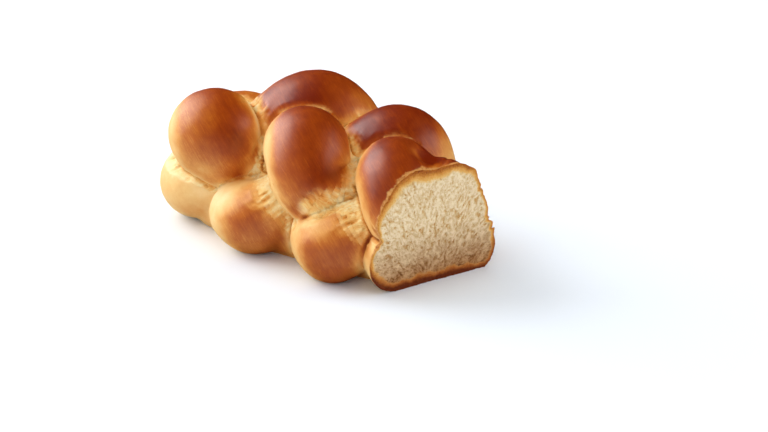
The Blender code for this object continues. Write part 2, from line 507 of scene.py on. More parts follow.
    def tubes(self) -> dict[str, np.ndarray]:
        """Return the lines to sweep.

        Returns:
            By name: each pair of ropes joined round the head, the filling and the lumps.
        """
        lines = {}
        for (first, second), bend in self.head_bends.items():
            knots = self.rope_knots(first)[::-1] + [bend] + self.rope_knots(second)
            lines[f"rope_{first}{second}"] = self.smooth(knots)
        for index, line in enumerate(self.filling):
            lines[f"filling_{index}"] = self.filling_line(line)
        for index, knots in enumerate(self.lumps):
            lines[f"lump_{index}"] = self.smooth(list(knots))
        return lines

    def ropes(self) -> list[np.ndarray]:
        """Return the four ropes' own lines.

        Returns:
            One line a rope, from the head to past the cut.
        """
        bends = {}
        for (first, second), bend in self.head_bends.items():
            bends[first] = bend
            bends[second] = bend
        return [self.smooth([bends[rope]] + self.rope_knots(rope)) for rope in self.routes]

    def filling_line(self, line: Knot) -> np.ndarray:
        """Return one line of dough inside the braid.

        Args:
            line: The line's place and radius in the middle of the loaf.

        Returns:
            The line's rows, thinner towards its ends.
        """
        x = np.linspace(*self.filling_ends, self.filling_points)
        reach = np.abs(x - self.filling_middle) / self.filling_taper
        thin = np.maximum(self.filling_tip, 1.0 - reach ** 3)
        same = np.ones_like(x)
        rows = [x, line.y * thin, line.z * thin, line.radius * thin, same * line.bare, same * 0.0]
        return self.to_metres(np.stack(rows, axis=1))


@dataclass
class DoughMap:
    """What the braid says about points of its skin.

    Attributes:
        gap: How much farther the next rope's surface is than the own one's: zero in a crease.
        rope: The number of the point's own rope.
        along: Length along that rope.
        around: Length round that rope, zero where it faces away from the loaf's axis.
        bare: How openly the rope faced the oven there.
        tone: The lobe's own shift of browning.
    """

    gap: np.ndarray
    rope: np.ndarray
    along: np.ndarray
    around: np.ndarray
    bare: np.ndarray
    tone: np.ndarray


@dataclass
class DoughRuler:
    """Measures points against the ropes' lines."""

    braid: Braid
    chunk: int = 8000
    typical_radius: float = 20 * MM

    def measure(self, points: np.ndarray) -> DoughMap:
        """Return the dough map of some points.

        Args:
            points: Points on or near the skin, one a row.

        Returns:
            The map, with one value for each point in each field.
        """
        facts = np.stack([self.against(rope, points) for rope in self.braid.ropes()])
        order = np.argsort(facts[:, :, 0], axis=0)
        every = np.arange(len(points))
        mine = facts[order[0], every]
        gap = facts[order[1], every, 0] - mine[:, 0]
        return DoughMap(gap, order[0], *mine[:, 1:].T)

    def against(self, rope: np.ndarray, points: np.ndarray) -> np.ndarray:
        """Return distance, along, around, bare and tone of points against one rope."""
        starts = range(0, len(points), self.chunk)
        return np.vstack([self.block(rope, points[start:start + self.chunk]) for start in starts])

    def block(self, rope: np.ndarray, points: np.ndarray) -> np.ndarray:
        """Measure one block of points against one rope.

        Args:
            rope: The rope's line.
            points: The points to measure.

        Returns:
            Rows of distance, along, around, bare and tone, each from the nearer of the two
            segments that meet at the rope's nearest point.
        """
        centres = rope[:, :3]
        steps = np.linalg.norm(np.diff(centres, axis=0), axis=1)
        lengths = np.concatenate([[0.0], np.cumsum(steps)])
        distance = np.linalg.norm(points[:, None] - centres[None], axis=2) - rope[None, :, 3]
        nearest = np.argmin(distance, axis=1)
        last = len(rope) - 2
        before = self.on_segment(rope, lengths, points, np.clip(nearest - 1, 0, last))
        after = self.on_segment(rope, lengths, points, np.clip(nearest, 0, last))
        return np.where((after[:, 0] < before[:, 0])[:, None], after, before)

    def on_segment(
        self, rope: np.ndarray, lengths: np.ndarray, points: np.ndarray, start: np.ndarray
    ) -> np.ndarray:
        """Measure points against the segments of a rope that begin at start.

        Args:
            rope: The rope's line.
            lengths: Length along the rope at each of its points.
            points: The points to measure.
            start: The index of each point's segment.

        Returns:
            Rows of distance, along, around, bare and tone.
        """
        first = rope[start]
        second = rope[start + 1]
        run = second[:, :3] - first[:, :3]
        square = np.sum(run * run, axis=1)
        share = np.clip(np.sum((points - first[:, :3]) * run, axis=1) / square, 0.0, 1.0)
        here = first + (second - first) * share[:, None]
        spoke = points - here[:, :3]
        away = np.linalg.norm(spoke, axis=1)
        tangent = run / np.sqrt(square)[:, None]
        outward = here[:, :3] - np.array([0.0, 0.0, self.braid.axis_height * MM])
        outward[:, 0] = 0.0
        outward -= tangent * np.sum(outward * tangent, axis=1)[:, None]
        outward /= np.maximum(np.linalg.norm(outward, axis=1), TINY)[:, None]
        side = np.cross(tangent, outward)
        angle = np.arctan2(np.sum(spoke * side, axis=1), np.sum(spoke * outward, axis=1))
        along = lengths[start] + share * np.sqrt(square)
        around = angle * self.typical_radius
        return np.stack([away - here[:, 3], along, around, here[:, 4], here[:, 5]], 1)


@dataclass(frozen=True)
class Patch:
    """A place that browned, tore or swelled more or less than the rest, or that carries a painted sheen, in
    millimetres.
    """

    x: float
    y: float
    z: float
    radius: float
    change: float

    def share(self, points: np.ndarray) -> np.ndarray:
        """Return the change at each point, which fades away round the middle.

        Args:
            points: Points in metres, one a row.

        Returns:
            One value for each point.
        """
        centre = np.array([self.x, self.y, self.z]) * MM
        reach = np.sum((points - centre) ** 2, axis=1) / (self.radius * MM) ** 2
        return self.change * np.exp(-reach)


@dataclass
class Baking:
    """Decides how brown each point of the skin is, and where the dough tore.

    Heights and widths of creases are in millimetres. Slopes are the normal's upward part. Shades,
    losses and changes are parts of the whole range of browning, from 0 for pale dough to 1.
    """

    # Patches that brown the crust more or less; a few of them also paint a sheen into the colour.
    scorch_and_sheen: tuple[Patch, ...] = ()
    rips: tuple[Patch, ...] = ()
    ragged: Pattern = Pattern(6 * MM, 11, 3)
    fringe_length: float = 16 * MM
    fringe_width: float = 3.2 * MM
    fringe_seed: int = 29
    fringe_reach: float = 0.12
    rope_spacing: float = 3.1
    stretched_skin: Step = Step(0.31, 0.77)
    lying_flat: Step = Step(-0.1, 0.6)
    crease_edge: Step = Step(0.2, 1.0)
    crease_depth: float = 0.95
    crease_reach: float = 2.0
    flat_crease_reach: float = 8.0
    crease_raggedness: float = 1.5
    rip_cover: float = 0.8
    rip_raggedness: float = 0.5
    patches: Pattern = Pattern(15 * MM, 23)
    patch_edge: Step = Step(-0.75, 0.1)
    upper_part: Step = Step(28.0, 46.0)
    bare_face: Step = Step(0.12, 0.85)
    out_of_crease: Step = Step(-0.5, 8.0)
    nearer_the_heat: Step = Step(26.0, 64.0)
    upward: Step = Step(0.0, 0.9)
    sheltered: Step = Step(0.1, 0.8)
    downward: Step = Step(0.0, -0.8)
    late_side: Step = Step(-0.55, 0.02)
    cool_corner: Step = Step(0.55, 1.0)
    mottling: Pattern = Pattern(13 * MM, 31, 3)
    pale: float = 0.18
    darkest: float = 1.15
    top_shade: float = 0.40
    heat_shade: float = 0.33
    upward_shade: float = 0.16
    side_shade: float = 0.72
    shelter_loss: float = 0.50
    downward_shade: float = 0.05
    creased_share: float = 0.25
    late_rise: float = 0.35
    late_share: float = 0.12
    cool_corner_loss: float = 0.33
    cool_corner_way: tuple[float, float] = (0.8, 0.6)
    mottling_change: float = 0.07

    def tear(self, points: np.ndarray, normals: np.ndarray, dough: DoughMap) -> np.ndarray:
        """Return how torn the skin is.

        Args:
            points: Points of the skin.
            normals: The skin's normals there.
            dough: Their dough map.

        Returns:
            One value for each point, from 0 for whole skin to 1 for bare dough.
        """
        ragged = self.ragged.at(points)
        across = (dough.along / self.fringe_length, dough.around / self.fringe_width)
        fringe = noise(np.stack([*across, dough.rope * self.rope_spacing], axis=1), self.fringe_seed)
        whole = self.stretched_skin.of(dough.bare + self.fringe_reach * (ragged + fringe))
        reach = self.crease_reach + self.flat_crease_reach * self.lying_flat.of(normals[:, 2])
        inside = dough.gap / MM + self.crease_raggedness * ragged
        crease = 1.0 - self.crease_edge.of(inside / reach)
        patchy = self.patch_edge.of(self.patches.at(points))
        torn = np.maximum(1.0 - whole, self.crease_depth * crease * patchy)
        for patch in self.rips:
            torn += patch.share(points) * (self.rip_cover + self.rip_raggedness * ragged)
        return np.clip(torn, 0.0, 1.0)

    def brown(self, points: np.ndarray, normals: np.ndarray, dough: DoughMap) -> np.ndarray:
        """Return how brown the crust is.

        Args:
            points: Points of the skin.
            normals: The skin's normals there.
            dough: Their dough map.

        Returns:
            One value for each point, from 0 for pale dough to 1 for mahogany, and a little past it.
        """
        height = points[:, 2] / MM
        facing_up = normals[:, 2]
        open_face = self.bare_face.of(dough.bare) * self.out_of_crease.of(dough.gap / MM)
        high = self.top_shade + self.heat_shade * self.nearer_the_heat.of(height)
        high += self.upward_shade * self.upward.of(facing_up)
        low = self.side_shade - self.shelter_loss * self.sheltered.of(facing_up)
        low += self.downward_shade * self.downward.of(facing_up)
        shade = low + (high - low) * self.upper_part.of(height)
        shade *= self.creased_share + (1.0 - self.creased_share) * open_face
        shade += dough.tone * open_face
        late = self.late_side.of(normals[:, 0] + self.late_rise * facing_up)
        shade = self.pale + (shade - self.pale) * (self.late_share + (1.0 - self.late_share) * late)
        shade -= self.cool_corner_loss * self.cool_corner.of(normals[:, :2] @ np.array(self.cool_corner_way))
        shade += self.mottling_change * self.mottling.at(points)
        for patch in self.scorch_and_sheen:
            shade += patch.share(points)
        return np.clip(shade, 0.0, self.darkest)


@dataclass
class Skin:
    """Points and links of the loaf's skin while it is being shaped."""

    points: np.ndarray
    edges: np.ndarray
    normals: np.ndarray

    @classmethod
    def of(cls, mesh: bpy.types.Mesh) -> "Skin":
        """Read a mesh into a skin.

        Args:
            mesh: The mesh to read.

        Returns:
            The skin, which the mesh doesn't follow until its points are written back.
        """
        points = np.empty(len(mesh.vertices) * 3)
        mesh.vertices.foreach_get("co", points)
        normals = np.empty(len(mesh.vertices) * 3)
        mesh.vertex_normals.foreach_get("vector", normals)
        edges = np.empty(len(mesh.edges) * 2, dtype=np.int32)
        mesh.edges.foreach_get("vertices", edges)
        return cls(points.reshape(-1, 3), edges.reshape(-1, 2), normals.reshape(-1, 3))

    def spread(self, values: np.ndarray) -> np.ndarray:
        """Return for each point the mean value of its neighbours.

        Args:
            values: Rows of values, one row a point.

        Returns:
            The rows of means.
        """
        one, other = self.edges.T
        count = np.bincount(self.edges.ravel(), minlength=len(self.points))
        columns = []
        for column in values.T:
            total = np.bincount(one, column[other], len(self.points))
            total += np.bincount(other, column[one], len(self.points))
            columns.append(total / count)
        return np.stack(columns, axis=1)

    def relax(self, weight: np.ndarray, rounds: int) -> None:
        """Smooth the points, each by its own weight.

        Args:
            weight: How far each point goes to its neighbours' mean in a round, from 0 to 1.
            rounds: How many rounds there are.
        """
        for _ in range(rounds):
            self.points += weight[:, None] * (self.spread(self.points) - self.points)


@dataclass(frozen=True)
class Plane:
    """A plane that cuts the loaf.

    Attributes:
        point: A point of the plane.
        normal: The direction in which the cut face looks.
        right: The first direction in the plane, at right angles to the second, up.
    """

    point: Vector
    normal: Vector
    right: Vector

    @property
    def up(self) -> Vector:
        """Return the second direction in the plane."""
        return self.normal.cross(self.right)

    @classmethod
    def knife(cls, x: float, yaw: float, lean: float) -> "Plane":
        """Return the blade's plane across the loaf.

        Args:
            x: Where it meets the loaf's middle line on the tray, in metres.
            yaw: How far it turns from straight across, in degrees.
            lean: How far its top leans towards the cut-off part, in degrees.

        Returns:
            The plane, with its right level and towards the back of the loaf.
        """
        turn, tilt = math.radians(yaw), math.radians(lean)
        level = math.cos(tilt)
        normal = Vector((math.cos(turn) * level, math.sin(turn) * level, -math.sin(tilt)))
        return cls(Vector((x, 0.0, 0.0)), normal, Vector((0.0, 0.0, 1.0)).cross(normal).normalized())

    @classmethod
    def tray(cls) -> "Plane":
        """Return the plane of the flat tray that the loaf was baked on."""
        return cls(Vector((0.0, 0.0, 0.0)), Vector((0.0, 0.0, -1.0)), Vector((1.0, 0.0, 0.0)))

    def behind(self, points: np.ndarray) -> np.ndarray:
        """Return how far each point lies behind the cut face, in millimetres."""
        return -(points - np.array(self.point)) @ np.array(self.normal) / MM

    def flatten(self, places: np.ndarray) -> np.ndarray:
        """Return places as lengths to the right and up in the plane."""
        offset = places - np.array(self.point)
        return np.stack([offset @ np.array(self.right), offset @ np.array(self.up)], 1)

    def unfold(self, places: np.ndarray) -> np.ndarray:
        """Return lengths to the right and up in the plane as places in space."""
        right, up = np.array(self.right), np.array(self.up)
        return np.array(self.point) + places[:, :1] * right + places[:, 1:] * up


@dataclass
class FlatFace:
    """Fills a flat opening of a mesh with small triangles.

    SKIP_HOLES asks the triangulation for the inside of the outline only, and points nearer to each
    other than SAME_PLACE are one.
    """

    plane: Plane
    spacing: float
    jitter: float
    seed: int
    clear_share: float = 0.55
    SKIP_HOLES: ClassVar[int] = 2
    SAME_PLACE: ClassVar[float] = 1e-9

    def seeds(self, rim: np.ndarray, links: np.ndarray) -> np.ndarray:
        """Return points inside the rim on a shaken triangular grid.

        Args:
            rim: The opening's outline points.
            links: Pairs of outline points that are joined.

        Returns:
            2D points that keep clear of the outline.
        """
        low, high = rim.min(axis=0), rim.max(axis=0)
        row_step = self.spacing * math.sqrt(3.0) / 2.0
        columns = np.arange(low[0], high[0], self.spacing)
        rows = np.arange(low[1], high[1], row_step)
        across, up = np.meshgrid(columns, rows)
        across = across + (np.arange(len(rows)) % 2)[:, None] * self.spacing / 2
        grid = np.stack([across.ravel(), up.ravel()], axis=1)
        shake = np.random.default_rng(self.seed).uniform(-1.0, 1.0, grid.shape)
        grid = grid + shake * self.jitter * self.spacing
        start, end = rim[links[:, 0]], rim[links[:, 1]]
        grid = grid[self.is_inside(grid, start, end)]
        return grid[self.clearance(grid, start, end) > self.spacing * self.clear_share]

    @staticmethod
    def is_inside(places: np.ndarray, start: np.ndarray, end: np.ndarray) -> np.ndarray:
        """Tell which places lie inside an outline.

        Args:
            places: The 2D places.
            start: Where each segment of the outline starts.
            end: Where each segment ends.

        Returns:
            True or false for each place.
        """
        inside = np.zeros(len(places), dtype=bool)
        for a, b in zip(start, end):
            if a[1] == b[1]:
                continue
            level = (places[:, 1] >= min(a[1], b[1])) & (places[:, 1] < max(a[1], b[1]))
            crossing = a[0] + (places[:, 1] - a[1]) * (b[0] - a[0]) / (b[1] - a[1])
            inside ^= level & (places[:, 0] < crossing)
        return inside

    @staticmethod
    def clearance(places: np.ndarray, start: np.ndarray, end: np.ndarray) -> np.ndarray:
        """Return each place's distance to the nearest segment.

        Args:
            places: The 2D places.
            start: Where each segment starts.
            end: Where each segment ends.

        Returns:
            One distance for each place.
        """
        nearest = np.full(len(places), np.inf)
        for a, b in zip(start, end):
            run = b - a
            share = np.clip((places - a) @ run / max(run @ run, TINY ** 3), 0.0, 1.0)
            nearest = np.minimum(nearest, np.linalg.norm(places - a - share[:, None] * run, axis=1))
        return nearest

    @staticmethod
    def drop_flat_faces(shell: bmesh.types.BMesh) -> None:
        """Delete faces that lie wholly in the opening's plane, which the filling replaces.

        Args:
            shell: The mesh with the opening.
        """
        rim = {vertex for edge in shell.edges if edge.is_boundary for vertex in edge.verts}
        flat = [face for face in shell.faces if rim.issuperset(face.verts)]
        bmesh.ops.delete(shell, geom=flat, context="FACES")

    def inner_triangles(
        self, corners: np.ndarray, triangles: np.ndarray, outline: np.ndarray, links: np.ndarray
    ) -> np.ndarray:
        """Return the triangles whose middle lies inside the outline, all turned the same way.

        Args:
            corners: The 2D corners.
            triangles: Three numbers of corners a row.
            outline: The opening's outline points.
            links: Pairs of outline points that are joined.

        Returns:
            The rows that are kept, counter-clockwise.
        """
        middles = corners[triangles].mean(axis=1)
        kept = triangles[self.is_inside(middles, outline[links[:, 0]], outline[links[:, 1]])]
        first, second, third = (corners[column] for column in kept.T)
        run, side = second - first, third - first
        backward = run[:, 0] * side[:, 1] - run[:, 1] * side[:, 0] <= 0.0
        kept[backward] = kept[backward, ::-1]
        return kept

    def fill(self, shell: bmesh.types.BMesh, material: int) -> list[bmesh.types.BMVert]:
        """Close the opening that lies in the plane.

        Args:
            shell: The mesh with an opening in the plane.
            material: The material index of the new faces.

        Returns:
            The new vertices inside the opening.
        """
        self.drop_flat_faces(shell)
        edges = [edge for edge in shell.edges if edge.is_boundary]
        rim = list(dict.fromkeys(vertex for edge in edges for vertex in edge.verts))
        number = {vertex: index for index, vertex in enumerate(rim)}
        links = np.array([[number[vertex] for vertex in edge.verts] for edge in edges])
        outline = self.plane.flatten(np.array([vertex.co for vertex in rim]))
        inner = self.seeds(outline, links)
        places = [Vector(place) for place in np.vstack([outline, inner])]
        flat = delaunay_2d_cdt(places, links.tolist(), [], self.SKIP_HOLES, self.SAME_PLACE)
        corners = np.array([tuple(place) for place in flat[0]])
        known = rim + [shell.verts.new(place) for place in self.plane.unfold(inner)]
        found = []
        for place, origin in zip(self.plane.unfold(corners), flat[3]):
            found.append(known[origin[0]] if origin else shell.verts.new(place))
        for triangle in self.inner_triangles(corners, np.array(flat[2]), outline, links):
            face = shell.faces.new([found[index] for index in triangle])
            face.material_index = material
            face.smooth = True
        for edge in edges:
            edge.smooth = False
        return known[len(rim):]


@dataclass
class Relief:
    """Heights by which the skin and the crumb stand out or sink in.

    Heights, depths and cells are in metres, and widths and drops in millimetres. A fold has its
    length in metres, its width in millimetres, its shift from rope to rope and its seed, and a pit
    has the same without the shift. A strand has its thickness and its reach in metres and its seed.
    """

    knife: Plane
    swells: tuple[Patch, ...] = ()
    waves: Pattern = Pattern(16 * MM, 47, 3)
    wave_height: float = 0.45 * MM
    ripples: Pattern = Pattern(3.5 * MM, 49)
    ripple_height: float = 0.05 * MM
    shreds: Pattern = Pattern(1.8 * MM, 51, 2)
    shred_height: float = 0.35 * MM
    fold_height: float = 1.2 * MM
    tear_depth: float = 0.6 * MM
    tear_edge: Step = Step(0.10, 0.90)
    crack_depth: float = 1.2 * MM
    crack_width: float = 1.4
    crack_start: float = 0.2
    crack_runs: Pattern = Pattern(7 * MM, 53)
    crack_ends: Step = Step(-0.35, 0.25)
    fold_wander: Pattern = Pattern(8 * MM, 39)
    fold_wander_reach: float = 2.6
    broad_fold: tuple[float, float, float, int] = (8 * MM, 3.4, 7.3, 41)
    narrow_fold: tuple[float, float, float, int] = (3.5 * MM, 2.0, 5.1, 43)
    ridge_sharpness: float = 3.2
    ridge_share: float = 0.6
    narrow_fold_share: float = 0.5
    deepest_fold: float = -1.2
    shaggy: Pattern = Pattern(9 * MM, 45)
    shaggy_edge: Step = Step(-0.5, 0.5)
    calm_share: float = 0.45
    shaggy_share: float = 0.55
    pit: tuple[float, float, int] = (3.6 * MM, 2.8, 55)
    pit_edge: Step = Step(0.5, 0.1)
    pitted: Pattern = Pattern(6 * MM, 58)
    pitted_edge: Step = Step(-0.2, 0.4)
    pit_share: float = 0.8
    rim_width: Step = Step(0.0, 2.2)
    rim_crumbs: Pattern = Pattern(1.5 * MM, 57, 2)
    rim_drop: float = 0.20
    rim_drop_change: float = 0.40
    fan_foot: tuple[float, float] = (-7 * MM, -2 * MM)
    fan_core: float = 6 * MM
    fan_steps: int = 7
    strand_gain: float = 2.4
    strand_wander: tuple[Pattern, Pattern] = (Pattern(4 * MM, 61), Pattern(4 * MM, 62))
    wander_reach: float = 1.1 * MM
    broad_strand: tuple[float, float, int] = (1.15 * MM, 1.1 * MM, 63)
    narrow_strand: tuple[float, float, int] = (0.72 * MM, 0.6 * MM, 67)
    open_crumb: Pattern = Pattern(9 * MM, 71)
    slit_edge: Step = Step(0.60, 1.1)
    slit_narrowness: float = 0.5
    closed_crumb: float = 0.25
    pore_floor: float = 0.30
    narrow_pore_share: float = 0.26
    broad_pore_share: float = 0.08
    slit_share: float = 0.46

    def of_crust(self, points: np.ndarray, dough: DoughMap, torn: np.ndarray) -> np.ndarray:
        """Return the height of the crust's swells, wrinkles, tears and cracks.

        Args:
            points: Points of the skin.
            dough: Their dough map.
            torn: How torn the skin is at each.

        Returns:
            The height of each point along its normal.
        """
        whole = 1.0 - torn
        height = self.wave_height * self.waves.at(points) * whole
        height += self.ripple_height * self.ripples.at(points) * whole
        height += self.fold_height * self.folds(points, dough) * torn
        height += self.shred_height * self.shreds.at(points) * torn
        height -= self.tear_depth * self.tear_edge.of(torn)
        height -= self.crack_depth * self.cracks(points, dough, self.crack_width)
        for swell in self.swells:
            height += MM * swell.share(points)
        return height + self.at_the_cut(points)

    def cracks(self, points: np.ndarray, dough: DoughMap, width: float) -> np.ndarray:
        """Return where the dough cracked open along its creases.

        Args:
            points: Points of the skin.
            dough: Their dough map.
            width: How far from the crease a crack reaches, in millimetres.

        Returns:
            One value for each point, from 0 to 1.
        """
        broken = self.crack_ends.of(self.crack_runs.at(points))
        return broken * (1.0 - Step(self.crack_start, width).of(dough.gap / MM))

    def folds(self, points: np.ndarray, dough: DoughMap) -> np.ndarray:
        """Return the folds and pits of stretched dough, which run along the rope.

        Args:
            points: Points of the skin.
            dough: Their dough map.

        Returns:
            One value for each point, from below -1 in a pit to 1 on a fold.
        """
        across = dough.around / MM + self.fold_wander_reach * self.fold_wander.at(points)
        layers = []
        for length, width, rope_spacing, seed in (self.broad_fold, self.narrow_fold):
            places = np.stack([dough.along / length, across / width, dough.rope * rope_spacing], 1)
            layers.append(noise(places, seed))
        ridges = 1.0 - self.ridge_sharpness * np.abs(layers[0])
        shaggy = self.shaggy_edge.of(self.shaggy.at(points))
        length, width, seed = self.pit
        pits = pores(np.stack([dough.along / length, across / width], 1), seed)
        holes = self.pit_edge.of(pits) * self.pitted_edge.of(self.pitted.at(points))
        height = self.ridge_share * ridges + self.narrow_fold_share * layers[1]
        height = height * (self.calm_share + self.shaggy_share * shaggy) - self.pit_share * holes
        return np.clip(height, self.deepest_fold, 1.0)

    def at_the_cut(self, points: np.ndarray) -> np.ndarray:
        """Return how far the crust's edge crumbles inwards beside the knife's plane."""
        near = 1.0 - self.rim_width.of(self.knife.behind(points))
        return -near * MM * (self.rim_drop + self.rim_drop_change * self.rim_crumbs.at(points))

    def strands(self, flat: np.ndarray, cell: float, reach: float, seed: int) -> np.ndarray:
        """Return noise drawn out into strands that fan out from the foot of the cut face.

        Args:
            flat: Places in the knife's plane.
            cell: The strands' thickness in metres.
            reach: Half the strands' length in metres.
            seed: A number that makes one pattern differ from another.

        Returns:
            One value for each place, from about -1 to 1.
        """
        offset = flat - np.array(self.fan_foot)
        away = np.maximum(np.linalg.norm(offset, axis=1), self.fan_core)[:, None]
        total = np.zeros(len(flat))
        for step in np.linspace(-reach, reach, self.fan_steps):
            total += noise((flat + offset / away * step) / cell, seed)
        return total / self.fan_steps * self.strand_gain

    def of_pores(self, flat: np.ndarray) -> np.ndarray:
        """Return how deep each place of the crumb lies in a pore.

        Args:
            flat: Places in the knife's plane.

        Returns:
            One value for each place, from 0 to 1.
        """
        wander = np.stack([pattern.at(flat) for pattern in self.strand_wander], axis=1)
        shaken = flat + wander * self.wander_reach
        broad = self.strands(shaken, *self.broad_strand)
        narrow = self.strands(shaken, *self.narrow_strand)
        open_here = 0.5 + 0.5 * self.open_crumb.at(flat)
        slits = self.slit_edge.of(broad + self.slit_narrowness * narrow)
        slits *= self.closed_crumb + (1.0 - self.closed_crumb) * open_here
        depth = self.pore_floor + self.narrow_pore_share * narrow + self.broad_pore_share * broad
        return np.clip(depth + self.slit_share * slits, 0.0, 1.0)


class Wire:
    """A value that flows from one node to others, and can be reckoned with."""

    def __init__(self, sheet: "Nodes", socket: bpy.types.NodeSocket) -> None:
        """Hold a node's output."""
        self.sheet = sheet
        self.socket = socket

    def __add__(self, other: object) -> "Wire":
        """Return the sum of two values."""
        return self.sheet.math("ADD", self, other)

    def __sub__(self, other: object) -> "Wire":
        """Return this value less another."""
        return self.sheet.math("SUBTRACT", self, other)

    def __rsub__(self, other: float) -> "Wire":
        """Return a number less this value."""
        return self.sheet.math("SUBTRACT", other, self)

    def __mul__(self, other: object) -> "Wire":
        """Return the product of two values."""
        return self.sheet.math("MULTIPLY", self, other)

    def swing(self, width: float) -> "Wire":
        """Return noise around its middle level as a change around nothing, of the given width."""
        return (self - self.sheet.LEVEL) * width

    def step(self, step: Step) -> "Wire":
        """Return the value's soft step from 0 to 1.

        Args:
            step: Where the step starts and ends.

        Returns:
            The stepped value.
        """
        node = self.sheet.add("MapRange", {"interpolation_type": "SMOOTHSTEP"}, Value=self)
        node.inputs["From Min"].default_value = step.low
        node.inputs["From Max"].default_value = step.high
        return Wire(self.sheet, node.outputs[0])

    def ramp(self, stops: tuple["Tone", ...]) -> "Wire":
        """Return the colour that the value picks from a ramp.

        Args:
            stops: The ramp's tones in order.

        Returns:
            The colour.
        """
        node = self.sheet.add("ValToRGB", Fac=self)
        elements = node.color_ramp.elements
        while len(elements) < len(stops):
            elements.new(1.0)
        for element, stop in zip(elements, stops):
            element.position = stop.at
            element.color = stop.linear()
        return Wire(self.sheet, node.outputs["Color"])


@dataclass(frozen=True)
class Speckle:
    """A noise of a material: its cell in metres, its finer layers, and how strong they are."""

    cell: float
    layers: float = 2.0
    strength: float = 0.5


class Nodes:
    """Builds one material's shader from short calls.

    Noise lies round LEVEL, and a bump map is flat there. A brush stroke is fine along the first of
    the stroke axes and drawn out along the two others.
    """

    STROKE_AXES = ((0.57, 0.68, 0.47), (0.58, 0.08, -0.81), (-0.59, 0.73, -0.35))
    STROKE_STRETCH = (1.0, 0.06, 0.10)
    BEND = 7 * MM
    LEVEL = 0.5

    def __init__(self, name: str) -> None:
        """Start an empty material.

        Args:
            name: The material's name.
        """
        self.material = bpy.data.materials.new(name)
        self.material.use_nodes = True
        self.tree = self.material.node_tree
        self.tree.nodes.clear()

    def add(self, kind: str, settings: dict | None = None, **inputs: object) -> bpy.types.Node:
        """Add a node.

        Args:
            kind: The node's type without its ShaderNode prefix.
            settings: Values of the node's own properties.
            **inputs: Values or wires for inputs, by name with spaces as underscores.

        Returns:
            The new node.
        """
        node = self.tree.nodes.new(f"ShaderNode{kind}")
        for key, value in (settings or {}).items():
            setattr(node, key, value)
        for key, value in inputs.items():
            self.feed(node.inputs[key.replace("_", " ")], value)
        return node

    def feed(self, socket: bpy.types.NodeSocket, value: object) -> None:
        """Link a socket to a wire, or set its value.

        Args:
            socket: The node's input.
            value: A wire, or a value of the socket's own kind.
        """
        if isinstance(value, Wire):
            self.tree.links.new(value.socket, socket)
        else:
            socket.default_value = value

    def fed(self, kind: str, settings: dict, values: dict, output: int | str = 0) -> Wire:
        """Return the output of a new node whose inputs are told by number.

        Args:
            kind: The node's type without its ShaderNode prefix.
            settings: Values of the node's own properties.
            values: Values or wires for inputs, by the input's number.
            output: Which output is wanted.

        Returns:
            The output.
        """
        node = self.add(kind, settings)
        for number, value in values.items():
            self.feed(node.inputs[number], value)
        return Wire(self, node.outputs[output])

    def place(self) -> Wire:
        """Return the place on the object."""
        return Wire(self, self.add("TexCoord").outputs["Object"])

    def reading(self, name: str, output: str = "Fac") -> Wire:
        """Return the value of one of the mesh's attributes."""
        return Wire(self, self.add("Attribute", {"attribute_name": name}).outputs[output])

    def math(self, operation: str, first: object, second: object) -> Wire:
        """Return the result of a Math node on two values."""
        return self.fed("Math", {"operation": operation}, {0: first, 1: second})

    def stretched(self, vector: Wire, share: float) -> Wire:
        """Return places on which a pattern is drawn out along their first part."""
        return Wire(self, self.add("Mapping", Vector=vector, Scale=(share, 1.0, 1.0)).outputs[0])

    def strokes(self, vector: Wire) -> Wire:
        """Return places drawn out along the brush's strokes, which cross the loaf aslant.

        Args:
            vector: The places.

        Returns:
            The drawn out places.
        """
        parts = {}
        for number, (axis, stretch) in enumerate(zip(self.STROKE_AXES, self.STROKE_STRETCH)):
            along = tuple(part * stretch for part in axis)
            values = {0: vector, 1: along}
            parts[number] = self.fed("VectorMath", {"operation": "DOT_PRODUCT"}, values, "Value")
        return self.fed("CombineXYZ", {}, parts)

    def bent(self, vector: Wire, place: Wire) -> Wire:
        """Return places shifted by slow noise, so that what is drawn on them wanders.

        Args:
            vector: The places to shift.
            place: The place on the object.

        Returns:
            The shifted places.
        """
        slow = self.add("TexNoise", Vector=place, Scale=1.0 / self.BEND, Detail=1.0).outputs["Color"]
        values = {0: Wire(self, slow), 1: (self.BEND, self.BEND, 0.0), 2: vector}
        return self.fed("VectorMath", {"operation": "MULTIPLY_ADD"}, values)

    def speckle(self, vector: Wire, pattern: Speckle) -> Wire:
        """Return noise around a half.

        Args:
            vector: The places.
            pattern: The noise's size and layers.

        Returns:
            The noise.
        """
        node = self.add(
            "TexNoise",
            Vector=vector,
            Scale=1.0 / pattern.cell,
            Detail=pattern.layers,
            Roughness=pattern.strength,
        )
        return Wire(self, node.outputs["Fac"])

    def pits(self, vector: Wire, cell: float) -> Wire:
        """Return the distance to the nearest of many scattered points, in cells."""
        return Wire(self, self.add("TexVoronoi", Vector=vector, Scale=1.0 / cell).outputs["Distance"])

    def blend(self, share: Wire, first: Wire, second: Wire) -> Wire:
        """Return two colours mixed by a share; a Mix node takes them at its inputs 6 and 7."""
        return self.fed("Mix", {"data_type": "RGBA"}, {0: share, 6: first, 7: second}, 2)

    def mixed(self, share: object, first: object, second: object) -> Wire:
        """Return two numbers mixed by a share."""
        return self.fed("Mix", {"data_type": "FLOAT"}, {0: share, 2: first, 3: second})

    def bump(self, height: Wire, depth: float, **under: Wire) -> Wire:
        """Return a normal bent by a height map whose full range is the depth in metres."""
        return Wire(self, self.add("Bump", Height=height, Strength=1.0, Distance=depth, **under).outputs[0])

    def surface(self, **inputs: object) -> bpy.types.Material:
        """Finish the material with a principled shader.

        Args:
            **inputs: Values or wires for the shader's inputs.

        Returns:
            The material.
        """
        shader = self.add("BsdfPrincipled", **inputs)
        self.add("OutputMaterial", Surface=Wire(self, shader.outputs[0]))
        return self.material


